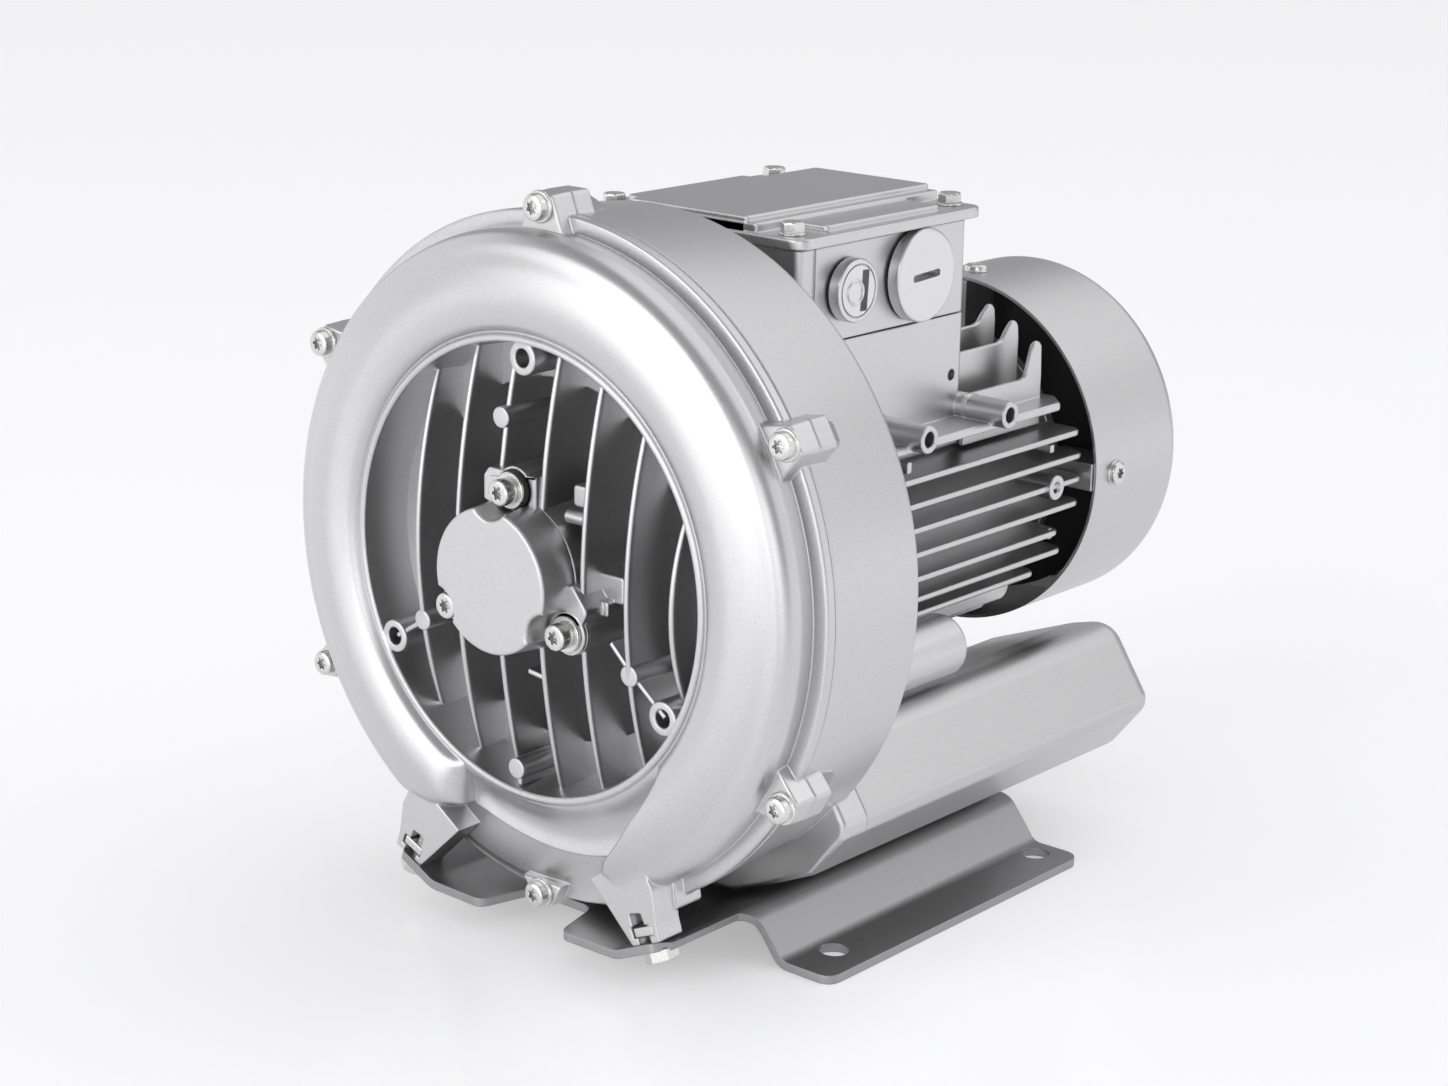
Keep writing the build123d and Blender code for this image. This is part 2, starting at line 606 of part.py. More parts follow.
with BuildPart() as motor_housing:
    add(round_bar((0.0, 0.0), SHELL_R, MOTOR_START, MOTOR_END))
    add(round_bar((0.0, 0.0), 58.0, MOTOR_START, MOTOR_START + 6.0))
    for hand in (1, -1):
        for z, end in zip(SIDE_FINS, FIN_ENDS):
            add(side_fin(hand, z, end))
        for x in TOP_FINS:
            add(top_fin(hand * x))
        for x in LOW_FINS:
            add(low_fin(hand * x))
        ledge = [(30.0, BOX_Y[0]), (60.0, BOX_Y[0]), (60.0, 206.0), (52.0, 214.0), (30.0, 214.0)]
        add(block(level(27.0), mirrored(ledge, hand), 3.0))
        add(cross_bar((202.0, 0.0), 4.6, hand * 45.0, hand * 63.0))
    add(block(level(20.0), box_points(-BOX_X, BOX_X, *BOX_Y), BOX_Z[0] - 20.0))
    for spot in TOWERS:
        add(cross_bar(spot, 4.8, 40.0, 66.0))
        add(cross_bar(spot, 4.8, -66.0, -40.0))
    add(block(level(44.0), box_points(-39.0, 39.0, 84.0, 158.5), 30.0), mode=Mode.SUBTRACT)
    bore = [(0.0, 60.0), (20.0, 60.0), (20.0, 68.0), (BORE_R, 68.0)]
    bore += [(BORE_R, MOTOR_END + 5), (0.0, MOTOR_END + 5)]
    add(turned(bore), mode=Mode.SUBTRACT)
    add(upright_bar((0.0, 121.0), 8.0, 30.0, 60.0), mode=Mode.SUBTRACT)
    for spot in TOWERS:
        add(cross_bar(spot, 2.7, 52.0, 67.0), mode=Mode.SUBTRACT)
        add(cross_bar(spot, 2.7, -67.0, -52.0), mode=Mode.SUBTRACT)
    for hand in (1, -1):
        add(cross_bar((202.0, 0.0), 2.0, hand * 50.0, hand * 64.0), mode=Mode.SUBTRACT)
    add(cross_bar((162.0, 45.0), 2.0, BOX_X - 4, BOX_X + 1), mode=Mode.SUBTRACT)
    for spot in MOTOR_BOLTS:
        add(round_bar(spot, 2.6, 60.0, 80.0), mode=Mode.SUBTRACT)
save("motor_housing", motor_housing.part)

with BuildPart() as motor_bolts:
    for spot in MOTOR_BOLTS:
        add(round_bar(spot, 4.8, 54.6, BAND_END) + round_bar(spot, 2.5, BAND_END, 67.5))
save("motor_bolts", motor_bolts.part)

COWL_SCREW_Y = 235.0


def cowl_lug(angle):
    """Arm from the end shield out to the cowl, one of four."""
    arm = box_points(40.0, COWL_R - COWL_T - 0.3, -5.0, 5.0)
    c, s = cos(radians(angle)), sin(radians(angle))
    turn = [(x * c - z * s, x * s + z * c) for x, z in arm]
    limit = round_bar((0.0, 0.0), COWL_R - COWL_T, 220.0, 245.0)
    return block(station(MOTOR_END), turn, -(240.0 - MOTOR_END)).intersect(limit)


def cowl_bar(angle, radius, inner, outer):
    """Radial cylinder on a cowl screw's line."""
    across = (cos(radians(angle)), 0, sin(radians(angle)))
    origin = (across[0] * inner, FRONT_Y + COWL_SCREW_Y, AXIS_Z + across[2] * inner)
    with BuildSketch(Plane(origin=origin, x_dir=(0, 1, 0), z_dir=across)) as face:
        Circle(radius)
    return extrude(face.sketch, amount=outer - inner, mode=Mode.PRIVATE)


with BuildPart() as rear_end_shield:
    dish = [(0.0, REAR_SEAT - 3), (22.0, REAR_SEAT - 3), (24.0, 214.0), (BORE_R, 214.0), (BORE_R, MOTOR_END)]
    add(turned(dish + [(SHELL_R, MOTOR_END), (SHELL_R, 226.0), (0.0, 226.0)]))
    for turn in (0.0, 90.0, 180.0, 270.0):
        add(cowl_lug(turn))
    back = REAR_SEAT + BEARING_W
    bore = [(0.0, 200.0), (BEARING_R, 200.0), (BEARING_R, back), (10.0, back), (10.0, 230.0), (0.0, 230.0)]
    add(turned(bore), mode=Mode.SUBTRACT)
    for turn in (0.0, 90.0, 180.0, 270.0):
        add(cowl_bar(turn, 2.1, 50.0, 68.0), mode=Mode.SUBTRACT)
save("rear_end_shield", rear_end_shield.part)


def fan_blade(angle):
    """Straight radial blade of the cooling fan."""
    points = [(12.0, -1.0), (56.0, -1.0), (56.0, 1.0), (12.0, 1.0)]
    c, s = cos(radians(angle)), sin(radians(angle))
    turn = [(x * c - z * s, x * s + z * c) for x, z in points]
    return block(station(246.0), turn, -18.0)


with BuildPart() as cooling_fan:
    disc = [(SHAFT_R, 243.0), (14.0, 243.0), (58.0, 246.5), (58.0, 248.5), (14.0, 246.0)]
    add(turned(disc + [(13.0, 265.0), (SHAFT_R, 265.0)]))
    for k in range(9):
        add(fan_blade(k * 40.0))
    add(round_bar((0.0, 0.0), SHAFT_R, 220.0, 270.0), mode=Mode.SUBTRACT)
save("cooling_fan", cooling_fan.part)

with BuildPart() as fan_cowl:
    edge = 6.0
    add(round_bar((0.0, 0.0), COWL_R, COWL[0], COWL[1]))
    fillet(fan_cowl.edges().filter_by(GeomType.CIRCLE).sort_by(Axis.Y)[-1], edge)
    add(round_bar((0.0, 0.0), COWL_R - COWL_T, COWL[0] - 1, COWL[1] - edge), mode=Mode.SUBTRACT)
    add(round_bar((0.0, 0.0), COWL_R - edge, COWL[0] - 1, COWL[1] - COWL_T), mode=Mode.SUBTRACT)
    with BuildSketch(station(COWL[1] - 4)):
        for radius, count in ((46.0, 24), (33.0, 18), (20.0, 12)):
            with PolarLocations(radius, count):
                SlotOverall(9.0, 3.6)
    extrude(amount=-10.0, mode=Mode.SUBTRACT)
    for turn in (0.0, 90.0, 180.0, 270.0):
        add(cowl_bar(turn, 2.4, 60.0, 68.0), mode=Mode.SUBTRACT)
save("fan_cowl", fan_cowl.part)

with BuildPart() as cowl_screws:
    for turn in (0.0, 90.0, 180.0, 270.0):
        add(cowl_bar(turn, 4.3, COWL_R, COWL_R + 2.6) + cowl_bar(turn, 2.0, 52.0, COWL_R))
save("cowl_screws", cowl_screws.part)

# ---------------------------------------------------------------- terminal box
BOX_MID = (BOX_Y[0] + BOX_Y[1]) / 2
GASKET_T = 1.0
LID_BASE = BOX_Z[1] + GASKET_T
LID_T = 3.5


def plate(z, half_x, y0, y1, depth, radius):
    """Flat plate centred on the shaft line, with rounded upright corners."""
    return block(level(z), [(-half_x, y0), (half_x, y0), (half_x, y1), (-half_x, y1)], depth, radius)


def slotted_head(centre, z, across, depth):
    """Hexagon head with its driving slot."""
    with BuildSketch(level(z)) as face:
        with Locations(centre):
            RegularPolygon(across / sqrt(3.0), 6)
    head = extrude(face.sketch, amount=depth, mode=Mode.PRIVATE)
    with BuildSketch(level(z + depth - 1.4)) as slot:
        with Locations(centre):
            Rectangle(across + 4, 1.1)
    return head - extrude(slot.sketch, amount=2.0, mode=Mode.PRIVATE)


with BuildPart() as terminal_box_frame:
    add(plate(BOX_Z[0], BOX_X, BOX_Y[0], BOX_Y[1], BOX_Z[1] - BOX_Z[0], 3.0))
    tall = BOX_Z[1] - BOX_Z[0] + 2
    add(plate(BOX_Z[0] - 1, BOX_X - 4, BOX_Y[0] + 4, BOX_Y[1] - 4, tall, 3.0), mode=Mode.SUBTRACT)
    whole = plate(BOX_Z[0], BOX_X, BOX_Y[0], BOX_Y[1], 40.0, 3.0)
    for spot in LID_SCREWS:
        add(upright_bar(spot, 5.0, BOX_Z[0], BOX_Z[1]).intersect(whole))
    for y, z in (LARGE_PLUG, SMALL_PLUG):
        add(cross_bar((y, z), 13.0 if y > BOX_MID else 9.0, BOX_X - 6, BOX_X - 3.9))
    for y, z in (LARGE_PLUG, SMALL_PLUG):
        add(cross_bar((y, z), 12.4 if y > BOX_MID else 8.0, BOX_X - 10, BOX_X + 1), mode=Mode.SUBTRACT)
    for spot in LID_SCREWS:
        add(upright_bar(spot, 1.9, BOX_Z[1] - 16, BOX_Z[1] + 1), mode=Mode.SUBTRACT)
    groove = box_points(83.2, 84.4, 80.0, 99.0)
    add(block(side(BOX_X - 0.8), groove, 2.0), mode=Mode.SUBTRACT)
save("terminal_box_frame", terminal_box_frame.part)

with BuildPart() as lid_gasket:
    add(plate(BOX_Z[1], BOX_X - 0.5, BOX_Y[0] + 0.5, BOX_Y[1] - 0.5, GASKET_T, 3.0))
    window = plate(BOX_Z[1] - 1, BOX_X - 8, BOX_Y[0] + 8, BOX_Y[1] - 8, GASKET_T + 2, 2.0)
    add(window, mode=Mode.SUBTRACT)
    for spot in LID_SCREWS:
        add(upright_bar(spot, 2.6, BOX_Z[1] - 1, BOX_Z[1] + 3), mode=Mode.SUBTRACT)
save("lid_gasket", lid_gasket.part)

with BuildPart() as terminal_box_lid:
    top = LID_BASE + LID_T
    add(plate(LID_BASE, LID_X, LID_Y[0], LID_Y[1], LID_T, 6.0))
    add(plate(top, 44.0, 91.0, 152.0, 2.0, 1.0))
    add(plate(top, 29.5, LID_Y[0] + 0.8, LID_Y[1] - 0.8, 3.2, 1.0))
    add(plate(top, 25.5, LID_Y[0] + 0.8, LID_Y[1] - 0.8, 5.0, 1.0))
    add(plate(LID_BASE - 1, 24.0, 90.0, 153.0, 5.5, 2.0), mode=Mode.SUBTRACT)
    for spot in LID_SCREWS:
        add(upright_bar(spot, 2.4, LID_BASE - 1, LID_BASE + 12), mode=Mode.SUBTRACT)
save("terminal_box_lid", terminal_box_lid.part)

with BuildPart() as lid_washers:
    for spot in LID_SCREWS:
        top = LID_BASE + LID_T
        add(upright_bar(spot, 4.6, top, top + 0.9) - upright_bar(spot, 2.1, top - 1, top + 2))
save("lid_washers", lid_washers.part)

with BuildPart() as lid_screws:
    for spot in LID_SCREWS:
        top = LID_BASE + LID_T + 0.9
        add(slotted_head(spot, top, 7.0, 3.4) + upright_bar(spot, 1.8, BOX_Z[1] - 12, top))
save("lid_screws", lid_screws.part)


def cable_plug(centre, head_r, head_t, stem_r, seal_t):
    """Blanking plug with a coin slot across its face."""
    base = BOX_X + seal_t
    plug = cross_bar(centre, head_r, base, base + head_t) + cross_bar(centre, stem_r, BOX_X - 8, base)
    y, z = centre
    slot = block(side(base + head_t - 1.6), box_points(y - 5.5, y + 5.5, z - 1.0, z + 1.0), 3.0)
    return plug - slot


def plug_seal(centre, outer, inner, seal_t):
    """Flat ring under a plug head."""
    disc = cross_bar(centre, outer, BOX_X, BOX_X + seal_t)
    return disc - cross_bar(centre, inner, BOX_X - 1, BOX_X + seal_t + 1)


with BuildPart() as cable_plug_large:
    add(cable_plug(LARGE_PLUG, 15.9, 4.4, 12.3, 0.8))
save("cable_plug_large", cable_plug_large.part)

with BuildPart() as cable_plug_small:
    add(cable_plug(SMALL_PLUG, 10.6, 3.4, 7.9, 0.8))
save("cable_plug_small", cable_plug_small.part)

with BuildPart() as plug_seals:
    add(plug_seal(LARGE_PLUG, 14.6, 12.4, 0.8))
    add(plug_seal(SMALL_PLUG, 9.6, 8.0, 0.8))
save("plug_seals", plug_seals.part)

with BuildPart() as terminal_board:
    add(plate(44.0, 14.0, 98.0, 144.0, 5.0, 1.5))
    for y in (106.0, 121.0, 136.0):
        for x in (-8.0, 8.0):
            add(upright_bar((x, y), 3.6, 49.0, 53.0))
            add(upright_bar((x, y), 1.9, 48.0, 70.0), mode=Mode.SUBTRACT)
save("terminal_board", terminal_board.part)

with BuildPart() as terminal_studs:
    for y in (106.0, 121.0, 136.0):
        for x in (-8.0, 8.0):
            add(upright_bar((x, y), 1.9, 48.0, 64.0))
save("terminal_studs", terminal_studs.part)

with BuildPart() as terminal_nuts:
    for y in (106.0, 121.0, 136.0):
        for x in (-8.0, 8.0):
            with BuildSketch(level(54.0)):
                with Locations((x, y)):
                    RegularPolygon(4.0, 6)
                    Circle(1.9, mode=Mode.SUBTRACT)
            extrude(amount=3.0)
save("terminal_nuts", terminal_nuts.part)

with BuildPart() as terminal_links:
    for y in (106.0, 121.0, 136.0):
        add(plate(53.0, 12.0, y - 3.5, y + 3.5, 1.0, 1.0))
        for x in (-8.0, 8.0):
            add(upright_bar((x, y), 1.9, 50.0, 60.0), mode=Mode.SUBTRACT)
save("terminal_links", terminal_links.part)


# ---------------------------------------------------------------- silencers
def silencer_body(hand):
    """Hollow prismatic silencer with a threaded rear port."""
    y0, y1 = SILENCER
    whole = block(station(y0), mirrored(SILENCER_POINTS, hand), -(y1 - y0), 4.0)
    centre = (hand * 51.0, -84.0)
    section = mirrored(SILENCER_POINTS, hand)
    hollow = [(x * 0.86 + centre[0] * 0.14, z * 0.86 + centre[1] * 0.14) for x, z in section]
    whole -= block(station(y0 + 4), hollow, -(y1 - y0 - 12), 3.0)
    whole -= round_bar((hand * DUCT_AT[0], DUCT_AT[1]), DUCT_R, y0 - 1, y0 + 6)
    whole -= round_bar((hand * PORT_AT[0], PORT_AT[1]), PORT_R, y1 - 10, y1 + 1)
    whole -= bolt_bar(hand, REAR_BOLT_Y, 2.6, -1.0, 9.0)
    return whole


def foam_tube(hand):
    """Absorber tube inside a silencer, around the air path."""
    y0, y1 = SILENCER
    tube = round_bar((hand * PORT_AT[0], PORT_AT[1]), 17.5, y0 + 5, y1 - 9)
    return tube - round_bar((hand * PORT_AT[0], PORT_AT[1]), 13.0, y0 + 4, y1 - 8)


with BuildPart() as silencer_right:
    add(silencer_body(1))
save("silencer_right", silencer_right.part)

with BuildPart() as silencer_left:
    add(silencer_body(-1))
save("silencer_left", silencer_left.part)

with BuildPart() as absorber_right:
    add(foam_tube(1))
save("absorber_right", absorber_right.part)

with BuildPart() as absorber_left:
    add(foam_tube(-1))
save("absorber_left", absorber_left.part)

# ---------------------------------------------------------------- base
def plate_section():
    """Gull-wing sheet section from the left floor flange to the right one."""
    half_top = [(0.0, 11.0), SLOPE_FOOT, SLOPE_TOP, (73.5, 22.0), (79.5, SHEET), (94.5, SHEET)]
    bend = SHEET * tan(radians(SLOPE_ANGLE / 2))
    low_end = (SLOPE_TOP[0] + bend * 0.3, SLOPE_TOP[1] - SHEET - 0.12)
    half_low = [(94.5, 0.0), (77.2, 0.0), (71.4, 18.6), low_end]
    half_low += [(SLOPE_FOOT[0] + bend, 11.0 - SHEET), (0.0, 11.0 - SHEET)]
    right = half_top + half_low
    return right, [(-x, z) for x, z in right]


with BuildPart() as base_plate:
    for points in plate_section():
        with BuildSketch(Plane.XZ.offset(130.0)):
            with BuildLine():
                Polyline(*points, close=True)
            make_face()
        extrude(amount=-200.0)
    with BuildSketch(Plane.XY.offset(-1.0)) as plan:
        for hand in (1, -1):
            with BuildLine():
                Polyline(
                    (0.0, -99.0),
                    (hand * 13.0, -99.0),
                    (hand * 18.5, -120.0),
                    (hand * 42.0, -119.5),
                    (hand * 61.5, -118.5),
                    (hand * 67.5, -104.0),
                    (hand * 69.5, -84.0),
                    (hand * 72.0, -74.0),
                    (hand * 94.5, -74.0),
                    (hand * 94.5, PLATE_BACK),
                    (0.0, PLATE_BACK),
                    close=True,
                )
            make_face()
        fillet(plan.vertices().filter_by(lambda v: abs(v.X) > 94.0), 6.0)
        fillet(plan.vertices().filter_by(lambda v: 17.0 < abs(v.X) < 66.0), 3.0)
    extrude(amount=40.0, mode=Mode.INTERSECT)
    with BuildSketch(Plane.XY.offset(-1.0)):
        with GridLocations(2 * HOLE_AT[0], 2 * HOLE_AT[1], 2, 2):
            Circle(HOLE_R)
    extrude(amount=8.0, mode=Mode.SUBTRACT)
    for hand in (1, -1):
        add(bolt_bar(hand, FRONT_BOLT_Y, 3.3, -6.0, 2.0), mode=Mode.SUBTRACT)
        add(bolt_bar(hand, REAR_BOLT_Y, 3.3, -6.0, 2.0), mode=Mode.SUBTRACT)
save("base_plate", base_plate.part)


def foot_bolt(hand, y, top):
    """Hexagon bolt from below the sheet."""
    with BuildSketch(bolt_plane(hand, y, -SHEET - 4.0)) as face:
        RegularPolygon(5.6, 6)
    return extrude(face.sketch, amount=4.0, mode=Mode.PRIVATE) + bolt_bar(hand, y, 2.5, -SHEET, top)


with BuildPart() as foot_bolts:
    for hand in (1, -1):
        add(foot_bolt(hand, FRONT_BOLT_Y, 11.0))
        add(foot_bolt(hand, REAR_BOLT_Y, 8.0))
save("foot_bolts", foot_bolts.part)

with BuildPart() as foot_nuts:
    for hand in (1, -1):
        square = bolt_box(hand, FRONT_BOLT_Y, 10.0, 10.0, NUT_LOW, NUT_LOW + NUT_T)
        add(square - bolt_bar(hand, FRONT_BOLT_Y, 2.5, 0.0, 14.0))
save("foot_nuts", foot_nuts.part)
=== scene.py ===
"""Side channel blower: finishes, casting detail, fasteners and studio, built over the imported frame."""

import json
import math

import bmesh
import bpy
from mathutils import Matrix, Vector
from mathutils.geometry import delaunay_2d_cdt


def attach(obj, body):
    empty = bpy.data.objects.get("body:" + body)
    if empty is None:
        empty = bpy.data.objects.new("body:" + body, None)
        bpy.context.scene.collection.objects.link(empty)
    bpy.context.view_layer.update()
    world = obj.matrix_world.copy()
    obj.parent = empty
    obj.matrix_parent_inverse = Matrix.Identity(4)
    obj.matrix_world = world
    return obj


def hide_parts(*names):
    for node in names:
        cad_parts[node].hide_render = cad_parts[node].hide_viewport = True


bl_info = {
    "name": "Side channel blower dressing",
    "version": (1, 0, 0),
    "blender": (4, 5, 0),
    "location": "View3D > Sidebar > Blower",
    "description": "Materials, screws, castings and stage for a side channel blower",
    "category": "Object",
}

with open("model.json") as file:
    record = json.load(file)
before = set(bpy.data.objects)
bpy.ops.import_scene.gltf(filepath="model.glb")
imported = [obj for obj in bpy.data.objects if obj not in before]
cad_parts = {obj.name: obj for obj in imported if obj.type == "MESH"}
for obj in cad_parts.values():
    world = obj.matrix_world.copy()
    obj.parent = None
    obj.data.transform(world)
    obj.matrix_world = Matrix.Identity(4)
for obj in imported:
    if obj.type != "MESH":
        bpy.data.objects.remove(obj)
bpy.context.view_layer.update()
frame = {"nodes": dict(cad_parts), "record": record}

MM = 0.001
SHAFT_HEIGHT, FRONT_REACH = 128.0, 114.0
ORIGIN = Vector((0.0, -FRONT_REACH * MM, SHAFT_HEIGHT * MM))


# ------------------------------------------------------------------ settings
class BlowerFinish(bpy.types.PropertyGroup):
    """Colours and roughness of the blower's finishes."""

    coat_colour: bpy.props.FloatVectorProperty(
        name="Casting colour", description="Silver-grey coating of the castings", subtype="COLOR",
        size=3, min=0.0, max=1.0, default=(0.60, 0.60, 0.605))
    coat_roughness: bpy.props.FloatProperty(
        name="Casting roughness", description="Roughness of the coating", min=0.0, max=1.0, default=0.36)
    # Base plate colour: the pressed base's own darker paint, set darker still as painted shade for the shade
    # that falls on the base under the casing.
    base_paint_and_shade_colour: bpy.props.FloatVectorProperty(
        name="Base plate colour", description="Paint of the pressed base, darkened further as painted shade", subtype="COLOR",
        size=3, min=0.0, max=1.0, default=(0.36, 0.36, 0.365))
    steel_colour: bpy.props.FloatVectorProperty(
        name="Screw colour", description="Bright zinc of the screws", subtype="COLOR",
        size=3, min=0.0, max=1.0, default=(0.66, 0.66, 0.65))
    round_edges: bpy.props.FloatProperty(
        name="Cast edge radius", description="Radius shown on cast edges", subtype="DISTANCE",
        unit="LENGTH", min=0.0, max=0.003, default=0.0008)


class BlowerSizes(bpy.types.PropertyGroup):
    """Sizes of the repeated forms."""

    rib_count: bpy.props.IntProperty(name="Ribs", description="Ribs across the cover recess", min=1, max=20,
                                     default=7)
    rib_shift: bpy.props.FloatProperty(
        name="Rib shift", description="How far the row of ribs stands to the right of the shaft",
        subtype="DISTANCE", unit="LENGTH",
        min=-0.05, max=0.05, default=0.00925)
    rib_pitch: bpy.props.FloatProperty(
        name="Rib pitch", description="Distance between ribs", subtype="DISTANCE", unit="LENGTH", min=0.005,
        default=0.0185)
    rib_thickness: bpy.props.FloatProperty(
        name="Rib thickness", description="Thickness near a rib's front edge", subtype="DISTANCE",
        unit="LENGTH",
        min=0.0005, default=0.002)
    recess_radius: bpy.props.FloatProperty(
        name="Recess radius", description="Radius of the round recess that the ribs reach", subtype="DISTANCE",
        unit="LENGTH", min=0.02, default=0.0741)
    sheet: bpy.props.FloatProperty(
        name="Sheet thickness", description="Thickness of the pressed base", subtype="DISTANCE", unit="LENGTH",
        min=0.001, default=0.003)


class BlowerStage(bpy.types.PropertyGroup):
    """Camera, floor and lights."""

    focal: bpy.props.FloatProperty(
        name="Focal length", description="Camera focal length in millimetres", min=10.0, default=71.97)
    azimuth: bpy.props.FloatProperty(
        name="Azimuth", description="Camera direction round the blower, degrees", default=40.616)
    elevation: bpy.props.FloatProperty(
        name="Elevation", description="Camera height above the horizon, degrees", default=16.056)
    roll: bpy.props.FloatProperty(
        name="Roll", description="Camera roll, degrees", default=0.962)
    place: bpy.props.FloatVectorProperty(
        name="Camera place", description="Where the camera stands", subtype="XYZ", unit="LENGTH",
        size=3, default=(0.6214, -0.7448, 0.3921))
    floor_colour: bpy.props.FloatVectorProperty(
        name="Floor colour", description="Pale studio floor", subtype="COLOR",
        size=3, min=0.0, max=1.0, default=(0.86, 0.86, 0.87))
    floor_glow: bpy.props.FloatProperty(
        name="Floor glow", description="Light given off by the floor itself", min=0.0, default=0.3)
    fill: bpy.props.FloatProperty(name="Fill light", description="Strength of the even studio light", min=0.0,
                                  default=0.4)


# ------------------------------------------------------------------ shader groups
def shader_group(name, inputs, outputs):
    """Empty shader node group with named sockets."""
    tree = bpy.data.node_groups.new(name, "ShaderNodeTree")
    for label, kind, default in inputs:
        socket = tree.interface.new_socket(name=label, in_out="INPUT", socket_type=kind)
        socket.default_value = default
    for label, kind in outputs:
        tree.interface.new_socket(name=label, in_out="OUTPUT", socket_type=kind)
    return tree, tree.nodes.new("NodeGroupInput"), tree.nodes.new("NodeGroupOutput")


def add_node(tree, kind, values=None, **settings):
    """Node with its settings; each input takes a plain value or a link from another node's output."""
    node = tree.nodes.new(kind)
    for name, value in settings.items():
        setattr(node, name, value)
    for label, value in (values or {}).items():
        if isinstance(value, bpy.types.NodeSocket):
            tree.links.new(value, node.inputs[label])
        else:
            node.inputs[label].default_value = value
    return node


def fine_grain_group():
    """Metallic grain: a fine sparkle for colour and roughness, and a height for bump."""
    tree, source, sink = shader_group(
        "Fine grain",
        [("Scale", "NodeSocketFloat", 2200.0), ("Contrast", "NodeSocketFloat", 0.1),
         ("Tone", "NodeSocketColor", (0.6, 0.6, 0.6, 1.0)), ("Roughness", "NodeSocketFloat", 0.36)],
        [("Color", "NodeSocketColor"), ("Roughness", "NodeSocketFloat"), ("Height", "NodeSocketFloat")])

    def maths(operation, *values, **settings):
        return add_node(tree, "ShaderNodeMath", dict(enumerate(values)), operation=operation,
                        **settings).outputs[0]

    coords = add_node(tree, "ShaderNodeTexCoord").outputs["Object"]
    grain = add_node(tree, "ShaderNodeTexNoise", {
        "Vector": coords, "Scale": source.outputs["Scale"], "Detail": 2.0, "Roughness": 0.6}).outputs["Fac"]
    cloud = add_node(tree, "ShaderNodeTexNoise", {"Vector": coords, "Scale": 26.0,
                                                  "Detail": 3.0}).outputs["Fac"]
    spread = add_node(tree, "ShaderNodeMapRange", {
        "Value": grain, "From Min": 0.3, "From Max": 0.7, "To Min": -1.0, "To Max": 1.0}).outputs["Result"]
    both = maths("ADD", spread, maths("MULTIPLY_ADD", cloud, 0.5, -0.25))
    scaled = maths("MULTIPLY", both, source.outputs["Contrast"])
    tone = add_node(tree, "ShaderNodeVectorMath", {
        0: source.outputs["Tone"], "Scale": maths("ADD", scaled, 1.0)}, operation="SCALE").outputs[0]
    rough = maths("MULTIPLY_ADD", scaled, 0.5, source.outputs["Roughness"], use_clamp=True)
    for label, value in (("Color", tone), ("Roughness", rough), ("Height", grain)):
        tree.links.new(value, sink.inputs[label])
    return tree


GROUPS = {}


def finish_material(name, colour, roughness, metallic, scale=2200.0, contrast=0.08, bump=0.06, edge=0.0008):
    """Principled finish with the shared grain and rounded edges."""
    material = bpy.data.materials.new(name)
    material.use_nodes = True
    tree = material.node_tree
    shader = tree.nodes["Principled BSDF"]
    shader.inputs["Metallic"].default_value = metallic
    grain = add_node(tree, "ShaderNodeGroup", node_tree=GROUPS["grain"])
    for label, value in (("Scale", scale), ("Contrast", contrast), ("Tone", (*colour, 1.0)),
                         ("Roughness", roughness)):
        grain.inputs[label].default_value = value
    relief = add_node(tree, "ShaderNodeBump", {
        "Strength": bump, "Distance": 0.0002, "Height": grain.outputs["Height"]})
    if edge > 0:
        soft = add_node(tree, "ShaderNodeBevel", {"Radius": edge}, samples=6)
        tree.links.new(soft.outputs["Normal"], relief.inputs["Normal"])
    for output, label in ((grain.outputs["Color"], "Base Color"), (grain.outputs["Roughness"], "Roughness"),
                          (relief.outputs["Normal"], "Normal")):
        tree.links.new(output, shader.inputs[label])
    return material


MATERIALS = {}


